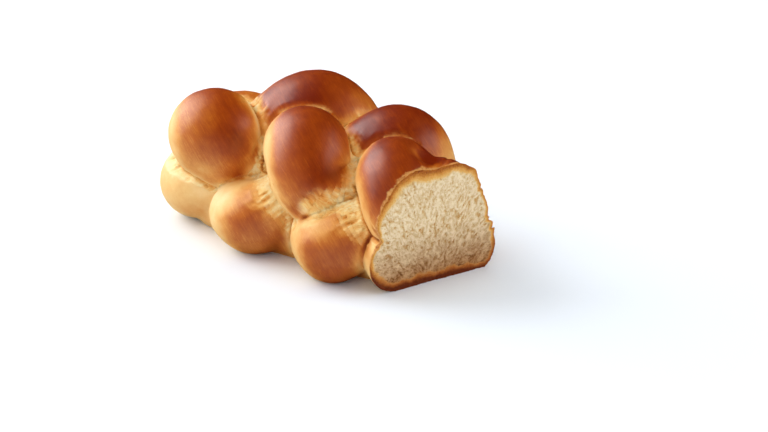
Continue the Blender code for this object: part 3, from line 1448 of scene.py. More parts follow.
@dataclass(frozen=True)
class Tone:
    """A stop of a ramp: where it lies, and its red, green and blue as a screen shows them."""

    at: float
    red: int
    green: int
    blue: int

    def linear(self) -> tuple[float, float, float, float]:
        """Return the colour as light by the usual screen curve, with full cover.

        Returns:
            Red, green and blue from 0 to 1, and 1 for the cover.
        """
        parts = []
        for value in (self.red, self.green, self.blue):
            share = value / 255.0
            parts.append(share / 12.92 if share <= 0.04045 else ((share + 0.055) / 1.055) ** 2.4)
        return (*parts, 1.0)


@dataclass(frozen=True)
class RimStretch:
    """The browned rim of the cut face at one turn round the face's middle.

    The turn is in degrees, from straight to the back over straight up to the front. The width is
    in millimetres, and brown tells how dark the rim's outer edge is, from 0 to 1 and a little past.
    """

    turn: float
    width: float
    brown: float


@dataclass(frozen=True)
class CrustFinish:
    """Egg-glazed crust: glossy and brown where it bulged, pale and rough where it tore, the torn dough with
    painted glow and painted shade.

    Each change, floor and crumble moves the place on a ramp of tones or on a step, which run from
    0 to 1. A share says how far a pattern is drawn out, or how much of the second one is mixed in.
    """

    name: str = "egg_glazed_crust"
    tones: tuple[Tone, ...] = (
        Tone(0.00, 242, 212, 154),
        Tone(0.20, 232, 187, 115),
        Tone(0.40, 216, 146, 64),
        Tone(0.60, 186, 98, 25),
        Tone(0.80, 156, 64, 8),
        Tone(1.00, 118, 32, 2),
    )
    # Pale torn dough, partly its own colour and partly a painted glow: the tones are lighter than the dough
    # to stand in for light shining through its thin walls in the creases.
    torn_tones_with_glow: tuple[Tone, ...] = (
        Tone(0.00, 255, 233, 176),
        Tone(0.35, 251, 205, 124),
        Tone(0.65, 236, 158, 68),
        Tone(1.00, 168, 74, 20),
    )
    cut_tones: tuple[Tone, ...] = (
        Tone(0.28, 140, 66, 22),
        Tone(0.45, 204, 130, 60),
        Tone(0.75, 232, 178, 104),
    )
    blotches: Speckle = Speckle(5 * MM, 4.0, 0.6)
    fibres: Speckle = Speckle(0.9 * MM, 4.0, 0.65)
    fibre_share: float = 0.22
    crumbs: Speckle = Speckle(1.5 * MM, 5.0, 0.7)
    hairs: Speckle = Speckle(0.6 * MM, 3.0, 0.6)
    brush_marks: Speckle = Speckle(2.6 * MM)
    freckles: Speckle = Speckle(0.7 * MM)
    wrinkles: Speckle = Speckle(2.2 * MM, 3.0)
    wrinkle_share: float = 0.35
    orange_peel: Speckle = Speckle(1.0 * MM)
    torn_edge: Step = Step(0.15, 0.95)
    cut_edge: Step = Step(0.25, 0.7)
    shining: Step = Step(0.15, 0.75)
    streaked: Step = Step(0.15, 0.7)
    pale_hair: Step = Step(0.56, 0.72)
    skin_relief: float = 0.08 * MM
    torn_relief: float = 1.6 * MM
    peel_share: float = 0.5
    crumb_share: float = 0.45
    edge_crumble: float = 0.5
    edge_fibre: float = 0.4
    cut_crumble: float = 0.9
    hair_change: float = 0.42
    brush_change: float = 0.14
    pale_hair_change: float = 0.21
    blotch_change: float = 0.20
    freckle_change: float = 0.08
    crack_change: float = 0.25
    torn_bake: float = 0.55
    torn_floor: float = 0.10
    painted_fold_shade: float = 0.34
    torn_fibre_change: float = 0.8
    torn_crumb_change: float = 0.45
    torn_crack_change: float = 0.62
    gloss: float = 0.41
    matt: float = 0.60
    gloss_change: float = 0.14
    specular: float = 0.80
    dull: float = 0.78

    def material(self) -> bpy.types.Material:
        """Return the crust's material.

        Returns:
            The material, which reads the attributes that Loaf.paint stores.
        """
        sheet = Nodes(self.name)
        place = sheet.place()
        grain = sheet.reading("grain", "Vector")
        bake = sheet.reading("bake")
        blotch = sheet.speckle(place, self.blotches)
        fibre = sheet.speckle(sheet.stretched(sheet.bent(grain, place), self.fibre_share), self.fibres)
        crumbly = sheet.speckle(place, self.crumbs)
        edge = sheet.reading("torn") + crumbly.swing(self.edge_crumble) + fibre.swing(self.edge_fibre)
        open_share = edge.step(self.torn_edge)
        cut_share = (sheet.reading("edge") + crumbly.swing(self.cut_crumble)).step(self.cut_edge)
        glazed = self.glazed(sheet, bake, blotch)
        colour = sheet.blend(open_share, glazed, self.stretched(sheet, bake, fibre, crumbly))
        colour = sheet.blend(cut_share, colour, crumbly.ramp(self.cut_tones))
        rough_share = sheet.math("MAXIMUM", open_share, cut_share)
        gloss = sheet.mixed(bake.step(self.shining), self.matt, self.gloss)
        gloss = blotch.swing(self.gloss_change) + gloss
        wrinkle = sheet.speckle(sheet.stretched(grain, self.wrinkle_share), self.wrinkles)
        skin = sheet.mixed(self.peel_share, wrinkle, sheet.speckle(place, self.orange_peel))
        normal = sheet.bump(sheet.mixed(rough_share, skin, sheet.LEVEL), self.skin_relief)
        coarse = sheet.mixed(rough_share, sheet.LEVEL, sheet.mixed(self.crumb_share, fibre, crumbly))
        return sheet.surface(
            Base_Color=colour,
            Roughness=sheet.mixed(rough_share, gloss, self.dull),
            Specular_IOR_Level=self.specular,
            Normal=sheet.bump(coarse, self.torn_relief, Normal=normal),
        )

    def glazed(self, sheet: Nodes, bake: Wire, blotch: Wire) -> Wire:
        """Return the colour of the glazed skin, with the brush's fine strokes in it.

        Args:
            sheet: The material's nodes.
            bake: How brown the skin is.
            blotch: Noise in large cells.

        Returns:
            The colour.
        """
        place = sheet.place()
        strokes = sheet.strokes(place)
        hair = sheet.speckle(strokes, self.hairs)
        brush = sheet.speckle(strokes, self.brush_marks)
        change = hair.swing(self.hair_change) + brush.swing(self.brush_change)
        change = change - hair.step(self.pale_hair) * self.pale_hair_change
        shade = bake + change * bake.step(self.streaked) + blotch.swing(self.blotch_change)
        shade = shade + sheet.speckle(place, self.freckles).swing(self.freckle_change)
        return (shade + sheet.reading("crack") * self.crack_change).ramp(self.tones)

    def stretched(self, sheet: Nodes, bake: Wire, fibre: Wire, crumbly: Wire) -> Wire:
        """Return the colour of torn dough, with painted shade that makes the hollows between its folds
        golden and its ridges paler.

        Args:
            sheet: The material's nodes.
            bake: How brown the skin is.
            fibre: Noise drawn out along the rope.
            crumbly: Fine even noise.

        Returns:
            The colour.
        """
        # Painted shade: where the folds sink the colour turns darker and more golden, and where they rise it
        # turns paler.
        value = bake * self.torn_bake - sheet.reading("fold") * self.painted_fold_shade
        value = value + fibre.swing(self.torn_fibre_change) + crumbly.swing(self.torn_crumb_change)
        value = value + sheet.reading("crack") * self.torn_crack_change
        return (value + self.torn_floor).ramp(self.torn_tones_with_glow)


@dataclass(frozen=True)
class CrumbFinish:
    """Soft open crumb with a browned rim, darker and browner towards the tray: partly denser crumb by the
    bottom crust, partly a painted shadow, as of slices standing before the cut face. Its pores and pinholes
    carry painted shade.

    Each change moves the place on a ramp of tones, which runs from 0 to 1.
    """

    name: str = "soft_crumb"
    tones: tuple[Tone, ...] = (
        Tone(0.00, 178, 116, 54),
        Tone(0.30, 206, 160, 99),
        Tone(0.62, 219, 190, 144),
        Tone(1.00, 240, 220, 184),
    )
    # Lower crumb: partly browner, denser crumb and partly a painted shadow.
    low_tones_and_shadow: tuple[Tone, ...] = (
        Tone(0.00, 60, 20, 4),
        Tone(0.30, 104, 50, 16),
        Tone(0.62, 142, 84, 36),
        Tone(1.00, 180, 126, 68),
    )
    rim_tones: tuple[Tone, ...] = (
        Tone(0.00, 236, 206, 146),
        Tone(0.30, 228, 178, 98),
        Tone(0.60, 210, 142, 62),
        Tone(0.85, 170, 92, 30),
        Tone(1.00, 104, 44, 12),
    )
    low_rim_tones: tuple[Tone, ...] = (
        Tone(0.00, 206, 152, 92),
        Tone(0.30, 190, 124, 62),
        Tone(0.60, 168, 92, 38),
        Tone(1.00, 104, 42, 12),
    )
    grains: Speckle = Speckle(0.7 * MM, 4.0, 0.65)
    clouds: Speckle = Speckle(8 * MM, 3.0)
    pinhole_spacing: float = 1.3 * MM
    pinhole: Step = Step(0.34, 0.08)
    low_crumb_and_shadow: Step = Step(36 * MM, -4 * MM)
    low_rim: Step = Step(20 * MM, 4 * MM)
    rim_edge: Step = Step(0.04, 0.34)
    lightest: float = 0.95
    painted_pore_shade: float = 0.66
    grain_change: float = 1.10
    painted_pinhole_shade: float = 0.38
    cloud_change: float = 0.25
    height_change: float = 12 * MM
    rim_grain_change: float = 0.7
    rim_cloud_change: float = 0.2
    relief: float = 0.45 * MM
    specular: float = 0.25
    dull: float = 0.85

    def material(self) -> bpy.types.Material:
        """Return the crumb's material.

        Returns:
            The material, which reads the attributes that Loaf.paint stores.
        """
        sheet = Nodes(self.name)
        place = sheet.place()
        fine = sheet.speckle(place, self.grains)
        cloud = sheet.speckle(place, self.clouds)
        pinhole = sheet.pits(place, self.pinhole_spacing).step(self.pinhole)
        # Painted shade: the deeper a point lies in a pore, the darker its colour, on top of the pores' real
        # relief.
        light = self.lightest - sheet.reading("pore") * self.painted_pore_shade + fine.swing(self.grain_change)
        # Painted shade: pinholes are dark dots in the colour only, standing in for the shadow inside tiny
        # holes that the mesh lacks.
        light = light - pinhole * self.painted_pinhole_shade + cloud.swing(self.cloud_change)
        height = Wire(sheet, sheet.add("SeparateXYZ", Vector=place).outputs["Z"])
        height = height + cloud.swing(self.height_change)
        # Darker towards the tray: partly denser, browner crumb, partly painted shadow.
        inner = sheet.blend(height.step(self.low_crumb_and_shadow), light.ramp(self.tones), light.ramp(self.low_tones_and_shadow))
        ragged = sheet.reading("rim") + fine.swing(self.rim_grain_change)
        ragged = ragged + cloud.swing(self.rim_cloud_change)
        tones = ragged.ramp(self.rim_tones), ragged.ramp(self.low_rim_tones)
        outer = sheet.blend(height.step(self.low_rim), *tones)
        return sheet.surface(
            Base_Color=sheet.blend(ragged.step(self.rim_edge), inner, outer),
            Roughness=self.dull,
            Specular_IOR_Level=self.specular,
            Normal=sheet.bump(fine, self.relief),
        )


@dataclass
class Loaf:
    """The loaf as one closed piece: crust all round, and crumb where the knife passed.

    A weight says how far a point moves to its neighbours' mean in one round of smoothing, except
    the spared one, which says how readily the smooth skin gives up triangles. Widths of the rim
    and of the broken crust are in millimetres, and the pores' depth and the spacings in metres.
    """

    name: str = "braided_loaf"
    braid: Braid = field(default_factory=Braid)
    knife: Plane = field(default_factory=lambda: Plane.knife(83.2 * MM, yaw=-15.0, lean=10.0))
    tray: Plane = field(default_factory=Plane.tray)
    crust: CrustFinish = CrustFinish()
    crumb: CrumbFinish = CrumbFinish()
    tube_rounding: int = 8
    weld_distance: float = 0.01 * MM
    voxel: float = 0.74 * MM
    even_weight: float = 0.5
    even_rounds: int = 5
    torn_weight: float = 0.5
    torn_rounds: int = 10
    crust_triangles: int = 124_000
    spared_weight: float = 4.0
    thinned_weight: float = 0.45
    thinned_rounds: int = 4
    crumb_spacing: float = 0.41 * MM
    crumb_jitter: float = 0.22
    crumb_seed: int = 5
    base_spacing: float = 6 * MM
    base_jitter: float = 0.1
    base_seed: int = 7
    pore_depth: float = 0.48 * MM
    SPARED: ClassVar[str] = "smooth_skin"
    # Patches that brown the crust more or less; a few of them also paint a sheen into the colour.
    scorch_and_sheen: tuple[Patch, ...] = (
        Patch(-26.1, -33.0, 51.0, 9.0, 0.22),
        Patch(40.0, -34.0, 50.0, 9.0, 0.22),
        Patch(-36.1, -12.0, 68.0, 7.0, -0.55),
        Patch(59.9, 25.0, 53.0, 12.0, -0.12),
        Patch(6.9, 24.0, 66.0, 9.0, -0.20),
        Patch(30.9, -16.0, 62.0, 8.0, 0.20),
        # Paler on the upper left of the upper front lobe nearest the head: partly paler crust, partly a
        # painted sheen.
        Patch(-54.1, -38.0, 66.0, 14.0, -0.28),
        # Paler on the upper left of the next upper front lobe: partly paler crust, partly a painted sheen.
        Patch(4.9, -41.0, 66.0, 13.0, -0.22),
        Patch(-4.1, -46.0, 6.0, 9.0, -0.10),
        Patch(-7.1, -51.0, 21.0, 9.0, 0.06),
        Patch(48.9, -54.0, 19.0, 9.0, -0.04),
        Patch(78.0, -46.0, 50.0, 12.0, 0.16),
        Patch(-40.0, -41.0, 35.0, 9.0, -0.16),
        Patch(-57.0, -29.0, 8.0, 9.0, 0.08),
        Patch(-35.0, -39.0, 25.0, 8.0, -0.12),
        Patch(-8.0, -46.0, 32.0, 9.0, 0.30),
        Patch(33.0, -44.0, 48.0, 9.0, 0.20),
        Patch(49.0, -47.0, 33.0, 8.0, 0.22),
        Patch(64.0, -41.0, 26.0, 8.0, 0.25),
        Patch(-8.0, 5.0, 72.0, 7.0, 0.16),
        Patch(-16.0, -1.0, 71.0, 6.0, 0.12),
        Patch(58.0, -36.0, 63.0, 7.0, 0.14),
        Patch(-34.8, -7.0, 63.7, 7.0, 0.14),
        Patch(-6.5, -32.0, 63.0, 7.0, 0.16),
        Patch(-47.0, -32.0, 22.0, 7.0, -0.14),
        Patch(82.0, -6.0, 61.0, 9.0, 0.50),
        Patch(82.5, -18.0, 66.5, 6.0, 0.05),
        Patch(-31.0, -38.0, 50.0, 12.0, 0.06),
        Patch(-31.0, -33.0, 34.0, 6.0, 0.22),
        Patch(-22.0, -49.0, 19.0, 9.0, -0.22),
        Patch(49.0, -55.0, 17.0, 10.0, 0.08),
        Patch(59.4, -38.0, 61.0, 6.0, 0.10),
        Patch(67.5, -45.0, 52.0, 8.0, 0.12),
        Patch(41.0, -32.0, 47.0, 9.0, -0.06),
        Patch(27.0, -44.0, 31.0, 4.0, 0.40),
        Patch(17.0, -40.0, 23.0, 5.0, 0.30),
        Patch(67.0, -41.6, 26.0, 6.0, 0.20),
        Patch(55.0, -43.5, 34.6, 6.0, 0.25),
        Patch(-35.0, -8.0, 63.8, 6.0, 0.20),
        Patch(-28.0, -29.0, 34.5, 4.0, 0.45),
        Patch(45.0, -28.0, 40.0, 6.0, -0.15),
    )
    rips: tuple[Patch, ...] = (
        Patch(-4.1, -38.0, 37.0, 9.0, 0.5),
        Patch(37.0, -42.5, 38.0, 7.0, 1.1),
        Patch(31.0, -45.5, 37.5, 5.0, 0.8),
        Patch(45.0, -33.0, 39.5, 6.0, 0.8),
        Patch(82.0, -8.0, 61.0, 8.0, -1.2),
        Patch(75.0, -6.0, 60.0, 6.0, -1.0),
        Patch(92.0, 19.0, 31.0, 8.0, -0.8),
        Patch(49.6, -47.0, 34.0, 8.0, -0.2),
        Patch(64.0, -41.0, 24.0, 8.0, -0.6),
        Patch(21.0, 1.0, 62.0, 6.0, -0.3),
        Patch(8.0, 15.0, 61.5, 6.0, -0.9),
        Patch(16.6, 3.7, 62.3, 6.0, -0.5),
        Patch(39.5, -27.0, 51.5, 9.5, -0.6),
        Patch(27.5, -44.0, 30.5, 4.0, 0.4),
        Patch(53.9, -43.0, 37.0, 9.0, 0.5),
        Patch(-13.1, -24.0, 46.0, 8.0, 0.6),
    )
    swells: tuple[Patch, ...] = (
        Patch(-32.0, -42.0, 18.0, 13.0, 2.4),
        Patch(83.0, -42.0, 48.0, 9.0, -2.8),
        Patch(80.5, -16.3, 67.5, 8.0, -5.2),
    )
    rim_middle: tuple[float, float] = (-14 * MM, 30 * MM)
    rim_stretches: tuple[RimStretch, ...] = (
        RimStretch(-176.0, 1.5, 0.00),
        RimStretch(-166.0, 1.5, 0.15),
        RimStretch(-150.0, 4.2, 1.00),
        RimStretch(-125.0, 6.5, 1.60),
        RimStretch(-60.0, 6.5, 1.60),
        RimStretch(-35.0, 3.4, 0.80),
        RimStretch(0.0, 1.8, 0.35),
        RimStretch(45.0, 2.2, 0.35),
        RimStretch(62.0, 5.0, 0.72),
        RimStretch(95.0, 6.2, 0.70),
        RimStretch(125.0, 6.4, 0.68),
        RimStretch(145.0, 5.2, 0.60),
        RimStretch(162.0, 2.8, 0.25),
        RimStretch(176.0, 2.0, 0.00),
    )
    rim_edge: Step = Step(0.0, 1.2)
    rim_unevenness: Pattern = Pattern(5 * MM, 97, 2)
    rim_width_change: float = 0.35
    thinnest_rim: float = 0.5
    rim_floor: float = 0.55
    rim_brown_share: float = 0.45
    broken_crust: Step = Step(0.2, 2.8)
    broken_edge: Pattern = Pattern(3 * MM, 91, 3)
    broken_edge_reach: float = 1.3
    crack_glow_width: float = 2.8
    crumb_edge: Step = Step(0.3, 1.6)
    crumb_waves: Pattern = Pattern(2.5 * MM, 83)
    crumb_wave_height: float = 0.15 * MM
    rope_spacing: float = 0.1
    crust_slot: int = 0
    crumb_slot: int = 1

    def __post_init__(self) -> None:
        """Make the tools that measure, bake and shape this loaf."""
        self.ruler = DoughRuler(self.braid)
        self.baking = Baking(self.scorch_and_sheen, self.rips)
        self.relief = Relief(self.knife, self.swells)

    def build(self) -> bpy.types.Object:
        """Grow, bake, tear and cut the loaf.

        Returns:
            The finished loaf.
        """
        body = self.join([self.sweep(name, line) for name, line in self.braid.tubes().items()])
        self.melt(body)
        self.keep_outer_skin(body.data)
        self.shape(body.data)
        self.thin_out(body)
        self.cut(body.data)
        self.paint(body.data)
        body.data.materials.append(self.crust.material())
        body.data.materials.append(self.crumb.material())
        return body

    def sweep(self, name: str, line: np.ndarray) -> bpy.types.Object:
        """Return a closed tube along a line, as thick as the line says.

        Args:
            name: The tube's name.
            line: Rows that begin with x, y, z and radius.

        Returns:
            The tube as a mesh object.
        """
        curve = bpy.data.curves.new(name, "CURVE")
        curve.dimensions = "3D"
        curve.bevel_depth = 1.0
        curve.bevel_resolution = self.tube_rounding
        curve.use_fill_caps = True
        spline = curve.splines.new("POLY")
        spline.points.add(len(line) - 1)
        for point, row in zip(spline.points, line):
            point.co = (*row[:3], 1.0)
            point.radius = row[3]
        self.choose(add_object(name, curve))
        bpy.ops.object.convert(target="MESH")
        return bpy.context.view_layer.objects.active

    @staticmethod
    def choose(*objects: bpy.types.Object) -> None:
        """Select only the given objects, and make the first one active.

        Args:
            *objects: The objects to select.
        """
        bpy.ops.object.select_all(action="DESELECT")
        for item in objects:
            item.select_set(True)
        bpy.context.view_layer.objects.active = objects[0]

    def join(self, tubes: list[bpy.types.Object]) -> bpy.types.Object:
        """Join all tubes, weld their caps and turn their faces outwards.

        Args:
            tubes: The tubes to join.

        Returns:
            The one object that is left.
        """
        self.choose(*tubes)
        bpy.ops.object.join()
        body = bpy.context.view_layer.objects.active
        body.name = self.name
        body.data.name = self.name
        bpy.ops.object.mode_set(mode="EDIT")
        bpy.ops.mesh.select_all(action="SELECT")
        bpy.ops.mesh.remove_doubles(threshold=self.weld_distance)
        bpy.ops.mesh.normals_make_consistent(inside=False)
        bpy.ops.object.mode_set(mode="OBJECT")
        return body

    def apply(self, body: bpy.types.Object, modifier: bpy.types.Modifier) -> None:
        """Apply one of the body's modifiers to its mesh."""
        self.choose(body)
        bpy.ops.object.modifier_apply(modifier=modifier.name)

    def melt(self, body: bpy.types.Object) -> None:
        """Melt the overlapping tubes into one skin of small, even faces.

        Args:
            body: The joined tubes.
        """
        skin = body.modifiers.new("one_skin", "REMESH")
        skin.mode = "VOXEL"
        skin.voxel_size = self.voxel
        self.apply(body, skin)

    @staticmethod
    def keep_outer_skin(mesh: bpy.types.Mesh) -> None:
        """Delete every part of the skin but the largest, so that no bubble is left inside.

        Args:
            mesh: The melted mesh.
        """
        with opened(mesh) as shell:
            unseen = set(shell.verts)
            islands = []
            while unseen:
                reached = [unseen.pop()]
                for vertex in reached:
                    near = {edge.other_vert(vertex) for edge in vertex.link_edges} & unseen
                    unseen -= near
                    reached.extend(near)
                islands.append(reached)
            outer = max(islands, key=len)
            inner = [vertex for island in islands if island is not outer for vertex in island]
            bmesh.ops.delete(shell, geom=inner, context="VERTS")

    def shape(self, mesh: bpy.types.Mesh) -> None:
        """Round the creases, then raise and sink the skin.

        Args:
            mesh: The outer skin.
        """
        skin = Skin.of(mesh)
        dough = self.ruler.measure(skin.points)
        torn = self.baking.tear(skin.points, skin.normals, dough)
        skin.relax(np.full(len(torn), self.even_weight), self.even_rounds)
        skin.relax(self.torn_weight * torn, self.torn_rounds)
        self.write_places(mesh, skin.points)
        skin = Skin.of(mesh)
        lift = self.relief.of_crust(skin.points, dough, torn)
        self.write_places(mesh, skin.points + skin.normals * lift[:, None])
        self.store(mesh, self.SPARED, 1.0 - torn)

    @staticmethod
    def write_places(mesh: bpy.types.Mesh, points: np.ndarray) -> None:
        """Move a mesh's vertices to the given points."""
        mesh.vertices.foreach_set("co", points.ravel())
        mesh.update()

    def thin_out(self, body: bpy.types.Object) -> None:
        """Cut off what lies past the knife, then spend triangles where the skin isn't smooth.

        Args:
            body: The shaped loaf.
        """
        with opened(body.data) as shell:
            self.bisect(shell, self.knife)
            share = self.crust_triangles / (2 * len(shell.faces))
        self.group_smooth_skin(body)
        thin = body.modifiers.new("fewer_faces", "DECIMATE")
        thin.ratio = share
        thin.vertex_group = self.SPARED
        thin.vertex_group_factor = self.spared_weight
        self.apply(body, thin)
        skin = Skin.of(body.data)
        skin.relax(self.thinned_weight * self.read(body.data, self.SPARED), self.thinned_rounds)
        self.write_places(body.data, skin.points)
        body.data.attributes.remove(body.data.attributes[self.SPARED])
        body.vertex_groups.clear()

    def group_smooth_skin(self, body: bpy.types.Object) -> None:
        """Put the smooth skin into a vertex group, where triangles may be spared.

        A group that is made with the attribute's name would get a number behind it, so the group
        takes the name afterwards.

        Args:
            body: The shaped loaf, with the skin's smoothness stored.
        """
        group = body.vertex_groups.new(name="new_group")
        group.name = self.SPARED
        weights = np.round(self.read(body.data, self.SPARED), 1)
        for weight in np.unique(weights[weights > 0.0]):
            group.add(np.flatnonzero(weights == weight).tolist(), float(weight), "REPLACE")

    @staticmethod
    def read(mesh: bpy.types.Mesh, name: str) -> np.ndarray:
        """Return the values stored under a name.

        Args:
            mesh: The mesh that holds them.
            name: The attribute's name.

        Returns:
            One value for each point.
        """
        values = np.empty(len(mesh.vertices), dtype=np.float32)
        mesh.attributes[name].data.foreach_get("value", values)
        return values

    @staticmethod
    def store(mesh: bpy.types.Mesh, name: str, values: np.ndarray) -> None:
        """Store values under a name.

        Args:
            mesh: The mesh that takes them.
            name: The attribute's name.
            values: One number or one vector for each point.
        """
        kind, part = ("FLOAT", "value") if values.ndim == 1 else ("FLOAT_VECTOR", "vector")
        attribute = mesh.attributes.new(name, kind, "POINT")
        attribute.data.foreach_set(part, values.astype(np.float32).ravel())

    @staticmethod
    def bisect(shell: bmesh.types.BMesh, plane: Plane) -> None:
        """Cut a mesh along a plane and drop what lies past it.

        Args:
            shell: The mesh to cut.
            plane: The plane, whose normal points to what is dropped.
        """
        every = [*shell.verts, *shell.edges, *shell.faces]
        bmesh.ops.bisect_plane(
            shell, geom=every, dist=TINY, plane_co=plane.point, plane_no=plane.normal, clear_outer=True
        )

    def cut(self, mesh: bpy.types.Mesh) -> None:
        """Close the cut with crumb, then press the underside flat on the tray.

        Args:
            mesh: The loaf, open where the knife passed.
        """
        with opened(mesh) as shell:
            bmesh.ops.triangulate(shell, faces=shell.faces)
            for face in shell.faces:
                face.smooth = True
                face.material_index = self.crust_slot
            crumb = FlatFace(self.knife, self.crumb_spacing, self.crumb_jitter, self.crumb_seed)
            self.open_pores(shell, crumb.fill(shell, self.crumb_slot))
            self.bisect(shell, self.tray)
            bmesh.ops.triangulate(shell, faces=[face for face in shell.faces if len(face.verts) > 3])
            base = FlatFace(self.tray, self.base_spacing, self.base_jitter, self.base_seed)
            base.fill(shell, self.crust_slot)
            shell.normal_update()
            open_edges = sum(not edge.is_manifold for edge in shell.edges)
            litres = shell.calc_volume() * LITRES_IN_CUBE
            LOG.info("loaf closed with %d open edges, volume %.3f litres", open_edges, litres)
        mesh.validate()

    def open_pores(self, shell: bmesh.types.BMesh, inner: list[bmesh.types.BMVert]) -> None:
        """Sink the crumb's points into pores.

        Args:
            shell: The loaf, with its outlines marked as sharp edges.
            inner: The vertices inside the cut face.
        """
        places = np.array([vertex.co for vertex in inner])
        flat = self.knife.flatten(places)
        rim = [edge.verts for edge in shell.edges if not edge.smooth]
        start, end = (self.knife.flatten(np.array([verts[i].co for verts in rim])) for i in (0, 1))
        clear = self.crumb_edge.of(FlatFace.clearance(flat, start, end) / MM)
        depth = self.relief.of_pores(flat) * self.pore_depth
        depth = (depth + self.crumb_wave_height * (1.0 + self.crumb_waves.at(flat))) * clear
        for vertex, place, sink in zip(inner, places, depth):
            vertex.co = Vector(place) - self.knife.normal * sink

    def paint(self, mesh: bpy.types.Mesh) -> None:
        """Store what the materials read: browning, tears, grain, pores and rim.

        Args:
            mesh: The finished mesh.
        """
        skin = Skin.of(mesh)
        dough = self.ruler.measure(skin.points)
        flat = self.knife.flatten(skin.points)
        crumb = self.crumb_points(mesh)
        facts = {
            "torn": self.baking.tear(skin.points, skin.normals, dough),
            "fold": self.relief.folds(skin.points, dough),
            "edge": self.beside_the_cut(skin.points),
            "crack": self.relief.cracks(skin.points, dough, self.crack_glow_width),
            "bake": self.baking.brown(skin.points, skin.normals, dough),
            "pore": np.where(crumb, self.relief.of_pores(flat), 0.0),
            "rim": self.rim(mesh, flat, crumb),
            "grain": np.stack([dough.along, dough.around, dough.rope * self.rope_spacing], axis=1),
        }
        for name, values in facts.items():
            self.store(mesh, name, values)

    def beside_the_cut(self, points: np.ndarray) -> np.ndarray:
        """Return how much the crust beside the knife's plane is broken open, from 0 to 1."""
        inside = self.knife.behind(points) + self.broken_edge_reach * self.broken_edge.at(points)
        return 1.0 - self.broken_crust.of(inside)

    def crumb_points(self, mesh: bpy.types.Mesh) -> np.ndarray:
        """Tell which points belong to the cut face.

        Args:
            mesh: The finished mesh.

        Returns:
            True or false for each point.
        """
        found = np.zeros(len(mesh.vertices), dtype=bool)
        for face in mesh.polygons:
            if face.material_index == self.crumb_slot:
                found[list(face.vertices)] = True
        return found

    def rim(self, mesh: bpy.types.Mesh, flat: np.ndarray, crumb: np.ndarray) -> np.ndarray:
        """Return how deep in the browned rim each point of the cut face lies, from 0 to 1.

        Args:
            mesh: The finished mesh.
            flat: All its points in the knife's plane.
            crumb: Which points belong to the cut face.

        Returns:
            One value for each point of the mesh.
        """
        shell = bmesh.new()
        shell.from_mesh(mesh)
        border = []
        for edge in shell.edges:
            if len({face.material_index for face in edge.link_faces}) == 2:
                border.append([vertex.index for vertex in edge.verts])
        shell.free()
        start, end = (flat[side] for side in np.array(border).T)
        away = np.full(len(flat), 1.0)
        away[crumb] = FlatFace.clearance(flat[crumb], start, end)
        offset = (flat - np.array(self.rim_middle)) / MM
        turn = np.degrees(np.arctan2(offset[:, 1], offset[:, 0]))
        rows = [(stretch.turn, stretch.width, stretch.brown) for stretch in self.rim_stretches]
        turns, widths, browns = np.array(rows).T
        width = np.interp(turn, turns, widths, period=360.0)
        brown = np.interp(turn, turns, browns, period=360.0)
        width = width * (1.0 + self.rim_width_change * self.rim_unevenness.at(flat))
        depth = 1.0 - self.rim_edge.of(away / MM / np.maximum(width, self.thinnest_rim))
        return depth * (self.rim_floor + self.rim_brown_share * brown)


@dataclass
class SoftLamp:
    """A large square lamp that looks at the loaf."""

    name: str
    direction: tuple[float, float, float]
    distance: float
    size: float
    power: float
    gleams: bool = True

    def build(self, target: Vector) -> bpy.types.Object:
        """Hang the lamp.

        Args:
            target: The point that it looks at.

        Returns:
            The lamp.
        """
        lamp = bpy.data.lights.new(self.name, "AREA")
        lamp.shape = "SQUARE"
        lamp.size = self.size
        lamp.energy = self.power
        holder = add_object(self.name, lamp)
        away = Vector(self.direction).normalized()
        holder.location = target + away * self.distance
        holder.rotation_euler = away.to_track_quat("Z", "Y").to_euler()
        holder.visible_glossy = self.gleams
        return holder


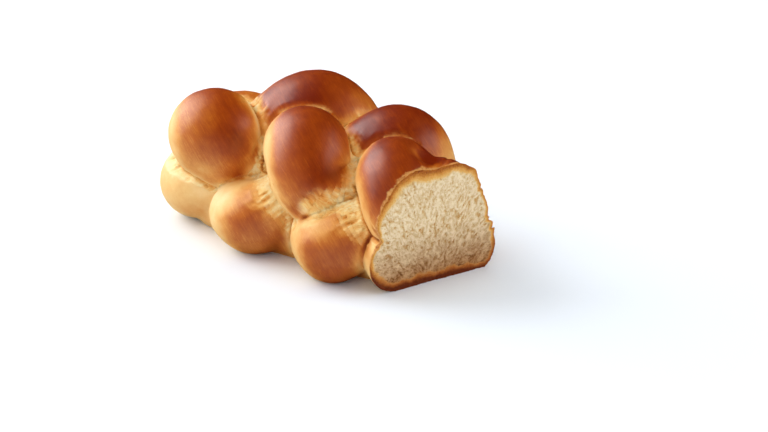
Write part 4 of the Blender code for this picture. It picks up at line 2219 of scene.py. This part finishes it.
@dataclass
class Studio:
    """A white table in soft light, and the camera.

    Lengths are in metres, except the lens and its sensor in millimetres. Angles are in degrees.
    """

    azimuth: float = 39.0
    elevation: float = 20.0
    lens: float = 100.0
    sensor: float = 36.0
    distance: float = 1.06
    target: Vector = field(default_factory=lambda: Vector((36.356, 6.450, 18.447)) * MM)
    floor_size: float = 12.0
    floor_white: tuple[float, float, float, float] = (0.84, 0.9, 0.97, 1.0)
    floor_dull: float = 0.9
    nearest_seen: float = 0.05
    farthest_seen: float = 20.0
    room_light: float = 0.83
    lamps: tuple[SoftLamp, ...] = (
        SoftLamp("window_lamp", (-0.82, -0.24, 0.52), 1.5, 1.35, 20.0),
        SoftLamp("side_lamp", (-0.95, 0.18, 0.20), 1.6, 0.9, 4.0),
        SoftLamp("back_lamp", (0.76, 0.54, 0.36), 1.6, 1.0, 5.5),
        SoftLamp("front_lamp", (0.30, -0.92, 0.16), 1.5, 1.2, 3.0, gleams=False),
    )

    def build(self) -> None:
        """Set up the floor, the lamps, the room's light and the camera."""
        self.build_floor()
        self.build_room()
        self.build_dome()
        for lamp in self.lamps:
            lamp.build(self.target)
        self.build_camera()

    def build_floor(self) -> bpy.types.Object:
        """Lay the white table top.

        Returns:
            The table top.
        """
        bpy.ops.object.select_all(action="DESELECT")
        bpy.ops.mesh.primitive_plane_add(size=self.floor_size, location=(0.0, 0.0, 0.0))
        floor = bpy.context.view_layer.objects.active
        floor.name = "table_top"
        sheet = Nodes("white_table")
        finish = sheet.surface(Base_Color=self.floor_white, Roughness=self.floor_dull)
        floor.data.materials.append(finish)
        floor.visible_glossy = False
        return floor

    def build_room(self) -> None:
        """Show white behind the table."""
        world = bpy.data.worlds.new("room")
        world.use_nodes = True
        tree = world.node_tree
        background = tree.nodes["Background"]
        background.inputs["Color"].default_value = (1.0, 1.0, 1.0, 1.0)
        rays = tree.nodes.new("ShaderNodeLightPath")
        tree.links.new(rays.outputs["Is Camera Ray"], background.inputs["Strength"])
        bpy.context.scene.world = world
        bpy.context.scene.view_settings.view_transform = "Standard"

    def build_dome(self) -> bpy.types.Object:
        """Light the table evenly from the whole sky, without a gleam on the glaze.

        Returns:
            The dome's light.
        """
        dome = bpy.data.lights.new("even_light", "SUN")
        dome.angle = math.pi
        dome.energy = self.room_light * math.pi
        dome.cycles.use_multiple_importance_sampling = False
        holder = add_object("even_light", dome)
        holder.visible_glossy = False
        return holder

    def build_camera(self) -> None:
        """Aim the camera at the loaf."""
        turn, rise = math.radians(self.azimuth), math.radians(self.elevation)
        level = math.cos(rise)
        back = Vector((math.sin(turn) * level, -math.cos(turn) * level, math.sin(rise)))
        lens = bpy.data.cameras.new("camera")
        lens.lens = self.lens
        lens.sensor_width = self.sensor
        lens.clip_start = self.nearest_seen
        lens.clip_end = self.farthest_seen
        camera = add_object("camera", lens)
        camera.location = self.target + back * self.distance
        camera.rotation_euler = back.to_track_quat("Z", "Y").to_euler()
        bpy.context.scene.camera = camera


def main() -> None:
    """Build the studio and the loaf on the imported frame, and keep both boxes."""
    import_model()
    Studio().build()
    LOG.info("studio built")
    loaf = Loaf().build()
    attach(loaf, BODY)
    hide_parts(NODE)
    triangles = sum(len(face.vertices) - 2 for face in loaf.data.polygons)
    LOG.info("%s built with %d triangles", loaf.name, triangles)


if __name__ == "__main__":
    logging.basicConfig(level=logging.INFO, format="%(name)s: %(message)s")
    main()
